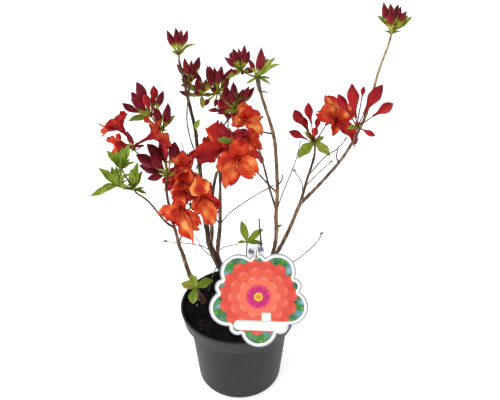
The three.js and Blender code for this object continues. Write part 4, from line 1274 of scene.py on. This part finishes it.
def add_twig(start, end, tint, rng):
    """A twig of a mass, sagging as in the solids, with small knots."""
    span = np.linalg.norm(end - start)
    control = (start + end) / 2 - UP * span * TWIG_SAG
    steps = max(6, int(span / TWIG_STEP))
    share = np.linspace(0, 1, steps)[:, None]
    centres = start * (1 - share) ** 2 + control * 2 * share * (1 - share) + end * share**2
    knots = 1 + 0.1 * np.sin(np.arange(steps) * KNOT_WAVE + rng.uniform(0, 6))
    add_tube(twigs, centres, TWIG_RADIUS * np.linspace(1, TWIG_TAPER, steps) * knots, 9, tint, tint)


def add_heart(heart, mass, rng):
    """Everything one heart carries: blooms, buds by the seeded spread, scales and leaves."""
    kind = heart.kind or mass.kind
    spread, count, size = heart.spray
    draw = seeded_random(heart.seed)
    centre = np.array(heart.at, float)
    axis = unit(np.array(heart.axis, float))
    side = square_to(axis, guide_for(axis))
    other = np.cross(axis, side)
    for place, (x, y, z, bearing, lift, open_share, golden) in enumerate(heart.blooms):
        add_bloom(np.array([x, y, z], float), heading(bearing, lift), open_share, golden, centre,
                  PETAL_PLANS.get((heart.seed, place)), rng)

    def grow(base, direction, length):
        root = centre + (base - centre) * 0.12
        worn = str(rng.choice(MIXED_BUDS)) if kind == "mixed" else kind
        add_bud(worn, root, base, base + direction * length, rng, mass.green)

    def spray_turn(i):
        return math.radians(i * SPRAY["turn"] + heart.seed * SPRAY["seed_turn"])

    for i in range(heart.more):
        lean = math.radians(MORE_LEAN + rng.uniform(*MORE_JITTER))
        out = leaning(axis, side, other, lean, spray_turn(count + i))
        grow(centre + out * size * rng.uniform(0.16, 0.32), unit(out + axis * SPRAY["upward"]),
             size * rng.uniform(0.55, 0.8))
    for i in range(count):
        jitter = (draw() - 0.5) * SPRAY["jitter"]
        lean = math.radians(spread * math.sqrt((i + 0.5) / count) + jitter)
        length = size * (0.82 + 0.3 * draw())
        stalk = size * BUD_STALK * (2 + 2.4 * draw())
        out = leaning(axis, side, other, lean, spray_turn(i))
        grow(centre + out * stalk, unit(out + axis * SPRAY["upward"]), length)
    for bearing, lift, reach, length in (*heart.tips, *heart.hanging):
        out = heading(bearing, lift)
        grow(centre + out * (reach - length), out, length)
    if count or heart.blooms or heart.tips:
        add_scales(centre, axis, SCALE_LENGTH[kind], rng)
    face_up = LEAVES_FACE if centre[1] < LEAF_TURNS_BACK_AT else LEAVES_FACE * [1, -1, 1]
    for bearing, lift, length, *tint in (*heart.leaves, *heart.small_leaves):
        for turn, rise, share in LEAF_FAN[: mass.leaves_each]:
            add_leaf(centre, heading(bearing + turn, lift + rise), length * share, face_up,
                     tint[0] if tint else "fresh", rng, mass.leaf_width)


def add_mass(mass, rng):
    """The hearts of a mass, its brown twig from the limb and green ones from heart to heart."""
    centres = [np.array(heart.at, float) for heart in mass.hearts]
    add_twig(curve_point(limb_paths[mass.limb], mass.share), centres[0], 0, rng)
    for i, heart in enumerate(mass.hearts[1:], 1):
        add_twig(centres[i - 1 if heart.grown_from is None else heart.grown_from], centres[i], 1, rng)
    for heart in mass.hearts:
        add_heart(heart, mass, rng)


def add_side_twig(points, foot, tip, budded, rng):
    path = curve_points(points, SIDE_TWIG_STEPS)
    knots = 1 + 0.08 * np.sin(np.arange(SIDE_TWIG_STEPS) * 0.9 + rng.uniform(0, 6))
    add_tube(side_twigs, path, (SIDE_TWIG_COAT + np.linspace(foot, tip, SIDE_TWIG_STEPS)) * knots, 7)
    for turn in (-0.25, 0.25) if budded else ():
        direction = unit(unit(path[-1] - path[-3]) + turn * np.array([1.0, 0.3, 0.2]))
        add_leaf(path[-1] - direction, direction, SIDE_TWIG_BUD, UP, "olive", rng, 0.5)


def build_plant():
    for number, mass in enumerate(MASSES.values()):
        add_mass(mass, np.random.default_rng(SEEDS["masses"] + number))
    rng = np.random.default_rng(SEEDS["side_twigs"])
    for points, foot, tip, *budded in SIDE_TWIGS:
        add_side_twig(points, foot, tip, bool(budded), rng)
    for foot, bearing, lift, length in LONE_LEAVES:
        add_leaf(np.array(foot, float), heading(bearing, lift), length, LEAVES_FACE, "fresh", rng)
    for piece in (petals, stamens, *buds.values(), leaves, bud_scales, twigs, side_twigs):
        piece.build(MASSES)


# Pot

def arc(centre, radius, first, last, steps=6):
    return centre + radius * on_circle(np.radians(np.linspace(first, last, steps)))


def pot_profile():
    """Radius and height pairs round the pot's section, from the middle of its underside."""
    collar, body = POT_COLLAR, POT_BODY
    edge = body["edge"]
    foot, waist = np.array([body["bottom"], edge]), np.array([body["top"], body["height"]])
    lip = POT_HEIGHT - collar["lip"]
    inner = collar["top"] - POT_WALL
    return np.concatenate([
        [[0, 0], [20, 0], [40, 0]],
        arc((body["bottom"] - edge, edge), edge, -90, 0, 10),
        [blend(foot, waist, share) for share in np.linspace(0.1, 0.9, 7)],
        [waist - [0, 1.2], waist + [0.5, 0.2]],
        [[collar["bottom"] - 1.2, collar["height"] - 1.4], [collar["bottom"], collar["height"]]],
        [[collar["top"], lip - 0.5], [POT_RIM_RADIUS - 0.4, lip], [POT_RIM_RADIUS, lip + 0.6]],
        arc((POT_RIM_RADIUS - 0.8, POT_HEIGHT - 0.8), 0.8, 0, 90, 5),
        arc((inner + 0.6, POT_HEIGHT - 0.6), 0.6, 90, 180, 4),
        [[inner - 0.2, POT_HEIGHT - 3], [collar["bottom"] - POT_WALL, collar["height"]]],
        [waist - [POT_WALL, 0], foot - [POT_WALL, 0], [body["bottom"] - edge, 3], [0, 3]],
    ])


def lathe_points(profile, sides):
    circle = on_circle(ring_turns(sides))
    flat = profile[:, :1, None] * circle
    return np.concatenate([flat, np.repeat(profile[:, 1:, None], sides, axis=1)], -1).reshape(-1, 3)


def build_pot():
    section = pot_profile()
    pot = Piece("pot_shell", "pot_plastic", [pot_material()])
    pot.add(lathe_points(section, POT_SIDES), grid_quads(len(section), POT_SIDES, True), 0)
    pot.build(["pot"])


# Compost, as an uneven disc with crumbs on it

def soil_height(x, y, rng):
    height = np.zeros_like(x)
    for wave in SOIL_WAVES:
        for _ in range(3):
            turn = rng.uniform(0, 2 * math.pi)
            phase = rng.uniform(0, 2 * math.pi)
            place = (x * math.cos(turn) + y * math.sin(turn)) * 2 * math.pi / wave
            height += wave * SOIL_RELIEF * np.sin(place + phase)
    return height


def add_crumb(piece, surface, radius, rng):
    """One crumb on the surface, anywhere within the radius, in any size and tint."""
    away = radius * 0.985 * math.sqrt(rng.random())
    turn = rng.uniform(0, 2 * math.pi)
    foot = surface[int(away / radius * (SOIL_ROWS - 1)), int(turn / (2 * math.pi) * SOIL_SIDES)]
    size = rng.uniform(*CRUMB_SIZES) ** CRUMB_SKEW
    axis = unit(rng.normal(size=3) * [1, 1, 0.35])
    half = axis * size * rng.uniform(*CRUMB_STRETCH)
    rings = len(CRUMB_SECTION)
    centres = foot + UP * size * 0.25 + np.linspace(-1, 1, rings)[:, None] * half
    uneven = rng.uniform(0.5, 1.1, (rings, CRUMB_SIDES))
    radii = CRUMB_SECTION[:, None] * size * uneven * CRUMB_GIRTH
    tint = rng.choice(len(CRUMB_TINTS), p=CRUMB_CHANCES)
    add_tube(piece, centres, radii, CRUMB_SIDES, tint, tint)


def build_compost():
    rng = np.random.default_rng(SEEDS["compost"])
    radius = blend(POT_COLLAR["bottom"], POT_COLLAR["top"], 0.75) - POT_WALL - 0.3
    flat = np.linspace(0.4, radius, SOIL_ROWS)[:, None, None] * on_circle(ring_turns(SOIL_SIDES))
    level = SOIL_TOP - 1.4 + soil_height(flat[..., 0], flat[..., 1], rng)
    level = np.minimum(level + rng.uniform(-SOIL_GRAIN, SOIL_GRAIN, level.shape), SOIL_TOP + 1.2)
    surface = np.concatenate([flat, level[..., None]], -1)
    base = SOIL_TOP - SOIL_DEPTH
    wall = np.array([[radius, SOIL_TOP - 1], [radius - 1, base + 4], [radius - 4, base], [0.4, base]])
    soil = Piece("compost", "compost", [compost_material()])
    soil.add(np.concatenate([surface.reshape(-1, 3), lathe_points(wall, SOIL_SIDES)]),
             grid_quads(SOIL_ROWS + len(wall), SOIL_SIDES, True), 0)
    soil.build(["soil"])
    crumbs = Piece("compost_crumbs", "compost", tissue_materials("crumb", CRUMB_TINTS, 0.9, 0.15, 0.5))
    for _ in range(CRUMB_COUNT):
        add_crumb(crumbs, surface, radius, rng)
    crumbs.build(["soil"], smooth_faces=False)


# Label card

def on_card(flat, height):
    """Points of the card's plane as points of the part. Height is one number or one each."""
    flat = np.asarray(flat, float)
    raised = np.broadcast_to(height, len(flat))[:, None] * CARD_OUT
    return CARD_ORIGIN + flat[:, :1] * RIGHT + flat[:, 1:2] * CARD_UP + raised


def slot_centre():
    """Where the spur goes through the card."""
    for share in np.linspace(0, 1, 401):
        point = curve_point(limb_paths["spur"], share) - CARD_ORIGIN
        if point.dot(CARD_UP) > TAB["at"][1] - TAB["radius"] and point.dot(CARD_OUT) > 0:
            return np.array([point[0], point.dot(CARD_UP)])
    return TAB["at"]


def card_outline(inset, slot, room):
    """The outermost lobe in each direction from the card's centre, drawn in by the inset and
    notched at the slot."""
    rays = on_circle(ring_turns(CARD_POINTS))
    reach = np.zeros(CARD_POINTS)
    for row in (BIG_LOBES, SMALL_LOBES):
        for i in range(row["count"]):
            offset = row["reach"] * on_circle(math.radians(row["first"] + i * 360 / row["count"]))
            along = rays @ offset
            miss = row["radius"] ** 2 - (offset.dot(offset) - along**2)
            reach = np.maximum(reach, np.where(miss > 0, along + np.sqrt(np.maximum(miss, 0)), 0))
    card_edge = CARD_CENTRE + rays * reach[:, None]
    for i in range(CARD_POINTS):
        while True:
            point = CARD_CENTRE + rays[i] * reach[i]
            clear = np.linalg.norm(card_edge - point, axis=1).min() >= inset - 0.05
            if clear and np.linalg.norm((point - slot) / (SLOT + room)) >= 1:
                break
            reach[i] -= 0.15
    return CARD_CENTRE + rays * reach[:, None]


def add_plate(piece, outline, heights):
    """A flat plate with a soft upper edge, between two heights."""
    low, high = heights
    inward = CARD_CENTRE - outline
    inward /= np.linalg.norm(inward, axis=1)[:, None]
    soft = (high - low) * 0.4
    rings = [on_card(outline + inward * soft, high), on_card(outline, high - soft),
             on_card(outline, low)]
    count = len(outline)
    fan = np.array(tessellate_polygon([[Vector((x, y, 0)) for x, y in outline]]))
    corners = outline[fan]
    first, second = corners[:, 1] - corners[:, 0], corners[:, 2] - corners[:, 0]
    turned = first[:, 0] * second[:, 1] < first[:, 1] * second[:, 0]
    fan[turned] = fan[turned][:, ::-1]
    caps = np.concatenate([fan, fan[:, ::-1] + 2 * count])
    piece.add(np.concatenate(rings), grid_quads(len(rings), count, True)[:, ::-1], 0, caps)


def add_ring(piece, first, last, section, tints=0, flip=False):
    """A closed ring between two outlines with the same number of points. Its section is pairs of
    the share of the way between them and the height. Flip it where the first one lies inside."""
    rings = [on_card(blend(first, last, share), height) for share, height in section]
    count = len(first)
    here = np.arange(count)
    following = (here + 1) % count
    back = (len(rings) - 1) * count
    under = np.stack([here + back, following + back, following, here], -1)
    quads = np.concatenate([grid_quads(len(rings), count, True), under])
    piece.add(np.concatenate(rings), quads[:, ::-1] if flip else quads, tints)


def limit_at(points, limit):
    """How far an outline lies from the card's centre, in the direction of each point."""
    offset = points - CARD_CENTRE
    turn = np.arctan2(offset[..., 1], offset[..., 0]) % (2 * math.pi)
    steps = np.arange(CARD_POINTS + 1) / CARD_POINTS * 2 * math.pi
    return np.interp(turn.ravel(), steps, np.append(limit, limit[0])).reshape(turn.shape)


def add_printed_petal(piece, base, tip, width, height, tint_range, limit):
    """One flat printed petal with a round tip, kept short enough to stay inside a limit."""
    rows, columns = PRINTED_GRID
    low, high = tint_range
    along, across = np.linspace(0, 1, rows)[:, None], np.linspace(-1, 1, columns)
    length = np.linalg.norm(tip - base)
    direction = unit(tip - base)
    side = np.array([-direction[1], direction[0]])
    half = np.sin(math.pi * along**1.5 * 0.95) ** 0.6 * width / 2 + 0.05
    for _ in range(30):
        flat = base + along[..., None] * direction * length + (across * half)[..., None] * side
        if (np.linalg.norm(flat - CARD_CENTRE, axis=2) < limit_at(flat, limit)).all():
            break
        length *= 0.95
    if length < width * 0.3:
        return
    raised = height + 0.02 * (1 - across**2) * np.sin(math.pi * along)
    grid = on_card(flat.reshape(-1, 2), raised.ravel()).reshape(rows, columns, 3)
    share, aside = face_shares(rows, columns)
    shade = low + (high - low) * (0.1 + 0.9 * share) * (1 - 0.45 * aside**2)
    shade -= 0.5 * bump(aside, 0, 0.12) * (share < 0.8)
    tints = tinted(shade, high, low)
    add_sheet(piece, grid[:, ::-1], PRINTED_THICKNESS,
              tints.reshape(rows - 1, -1)[:, ::-1].ravel(), tints, low)


def add_printed_ring(piece, ring, width, height, limit):
    for i in range(ring["petals"]):
        ray = on_circle(math.radians(ring["turn"] + i * 360 / ring["petals"]))
        add_printed_petal(piece, ROSETTE_AT + ray * ring["from"], ROSETTE_AT + ray * ring["to"], width,
                          height, ring["tints"], limit)


def strip_outline():
    """A strip with a round left end that runs out to the right edge."""
    start, end, half = STRIP["from"], STRIP["to"], STRIP["half"]
    direction = unit(end - start)
    side = np.array([-direction[1], direction[0]])
    turns = np.radians(np.linspace(90, 270, 24))
    round_end = start + half * on_circle(turns) @ np.array([direction, side])
    steps = np.linspace(0, 1, 40)[1:, None]
    low = start - side * half + (end - start) * steps
    high = start + side * half + (end - start) * steps[::-1]
    return np.concatenate([round_end, low, high])


def tile_outline():
    quarters = []
    for quarter, corner in enumerate([(1, 1), (-1, 1), (-1, -1), (1, -1)]):
        middle = TILE["at"] + np.array(corner) * (TILE["half"] - TILE["corner"])
        quarters.append(arc(middle, TILE["corner"], 90 * quarter, 90 * (quarter + 1)))
    return np.concatenate(quarters)


def cut_to(outline, limit):
    """An outline pulled in to a limit wherever it lies outside."""
    offset = outline - CARD_CENTRE
    reach = np.linalg.norm(offset, axis=1)
    return CARD_CENTRE + offset * np.minimum(1, limit_at(outline, limit) / reach)[:, None]


def add_tab(piece, slot):
    """The clear hanger disc, with a lip round its slot and a raised edge, its greys painted reflections
    in bands round it.
    """
    turns = ring_turns(TAB["sides"])
    circle = on_circle(turns)
    low, high = LAYERS["tab"]
    section = [(0, low), *((share, high + rise) for share, rise in TAB_SECTION), (1, low)]
    # Painted reflections: bands of grey round the clear disc
    shine = 0.5 + 0.5 * np.cos(3 * turns + 0.9 + 0.8 * np.sin(2 * turns))
    tints = np.clip(np.floor(shine * len(TAB_REFLECTION_TINTS)), 0, len(TAB_REFLECTION_TINTS) - 1).astype(int)
    add_ring(piece, slot + circle * SLOT, TAB["at"] + circle * TAB["radius"], section,
             np.tile(tints, len(section)), flip=True)


def label_piece(name, *looks):
    return Piece(f"label_{name}", "label", looks)


def build_label():
    """The card from its edge to its strip, in layers, and the clear tab that hangs it."""
    slot = slot_centre()
    outer, inner = card_outline(BORDER_INSET, slot, 0.8), card_outline(PRINT_INSET, slot, 1.5)
    limit = np.linalg.norm(outer - CARD_CENTRE, axis=1) - 0.6
    edge = label_piece("card_edge", plain_material("card_edge", CARD_TINTS["edge"], 0.3, 0.25))
    add_plate(edge, card_outline(0, slot, 0), LAYERS["edge"])

    border = label_piece("border", plain_material("card_border", CARD_TINTS["border"], 0.35))
    low, high = LAYERS["border"]
    soft = high - (high - low) * 0.35
    section = [(0, low), (0, soft), (0.06, high), (0.94, high), (1, soft), (1, low)]
    add_ring(border, outer, inner, section)

    ground = label_piece("print_ground", print_material())
    add_plate(ground, (outer + inner) / 2, LAYERS["print"])

    motif = label_piece("print_motif", *(plain_material(f"print_{i}", tint, 0.35)
                                         for i, tint in enumerate(PRINT_TINTS + PRINT_GREENS)))
    height = LAYERS["motif"]
    add_printed_ring(motif, PRINTED_LEAVES, PRINTED_LEAVES["width"], height, limit)
    for i, ring in enumerate(ROSETTE):
        width = 2 * math.pi * ring["to"] / ring["petals"] * 0.98
        add_printed_ring(motif, ring, width, height + RING_HEIGHT * (i + 1), limit)

    strip = label_piece("strip", plain_material("card_strip", CARD_TINTS["strip"], 0.4))
    add_plate(strip, cut_to(strip_outline(), limit), LAYERS["strip"])
    add_plate(strip, tile_outline(), LAYERS["tile"])

    tab = label_piece("tab", *(plain_material(f"tab_{i}", tint, 0.2, 0.35)
                               for i, tint in enumerate(TAB_REFLECTION_TINTS)))
    add_tab(tab, slot)
    for piece in (edge, border, ground, motif, strip, tab):
        piece.build(["label_card"])


# Stage: a pale floor, soft light and the camera

def add_to_scene(name, data):
    shown = bpy.data.objects.new(name, data)
    bpy.context.scene.collection.objects.link(shown)
    return shown


def add_floor():
    half = FLOOR["half"]
    corners = [(-half, -half, 0), (half, -half, 0), (half, half, 0), (-half, half, 0)]
    mesh = bpy.data.meshes.new("floor")
    mesh.from_pydata(corners, [], [(0, 1, 2, 3)])
    look = Look("floor", (FLOOR["grey"],) * 3 + (1,), 0.9, 0.1)
    look.inputs["Emission Color"].default_value = (1, 1, 1, 1)
    look.inputs["Emission Strength"].default_value = FLOOR["glow"]
    look.gloss(look.noise(3, 2), 0.85, 0.95)
    mesh.materials.append(look.material)
    floor = add_to_scene("floor", mesh)


def add_lamp(name, place, power, size):
    lamp = bpy.data.lights.new(name, "AREA")
    lamp.energy, lamp.size = power, size
    shown = add_to_scene(name, lamp)
    shown.location = place
    x, y, z = LAMPS_AIM - np.array(place)
    shown.rotation_euler = (math.atan2(math.hypot(x, y), -z), 0, math.atan2(y, x) - math.pi / 2)


def add_camera():
    lens = bpy.data.cameras.new("camera")
    lens.lens, lens.clip_start = CAMERA_LENS, 0.01
    camera = add_to_scene("camera", lens)
    camera.location = [value * MM for value in CAMERA_AT]
    camera.rotation_euler = (math.radians(90 - CAMERA_PITCH), 0, 0)
    bpy.context.scene.camera = camera


def add_sky():
    world = bpy.data.worlds.new("studio")
    world.use_nodes = True
    sky = world.node_tree.nodes["Background"]
    sky.inputs["Color"].default_value = (1, 1, 1, 1)
    sky.inputs["Strength"].default_value = SKY_STRENGTH
    bpy.context.scene.world = world


# The pieces that the plant's functions add to, and then everything in turn

BARKS = {name: bark_material(name) for name in BARK_TINTS}
petal_looks = tissue_materials("petal", graded(PETAL_TINTS, PETAL_STEPS), 0.6, 0.12, 0.2)
petals = Piece("petals", "blossom", petal_looks)
stamens = Piece("stamens", "blossom", tissue_materials("stamen", STAMEN_TINTS, 0.5, 0.2, 0.1))
buds = {
    coat: Piece(f"buds_{coat}", "bud",
                tissue_materials(f"bud_{coat}", graded(tints, BUD_STEPS) + BUD_GREENS, 0.52, 0.1, 0.15))
    for coat, tints in BUD_TINTS.items()
}
leaf_looks = tissue_materials("leaf", LEAF_TINTS, 0.5, 0.22, 0.3)
leaves = Piece("leaves", "leaf", leaf_looks)
bud_scales = Piece("bud_scales", "leaf", leaf_looks)
twigs = Piece("twigs", "dark_bark", [BARKS["brown"], BARKS["green"]])
side_twigs = Piece("side_twigs", "dark_bark", [BARKS["thin"]])

limb_paths = build_limbs()
build_plant()
build_pot()
build_compost()
build_label()
add_floor()
for lamp in LAMPS:
    add_lamp(*lamp)
add_camera()
add_sky()
bpy.context.scene.view_settings.view_transform = "Standard"
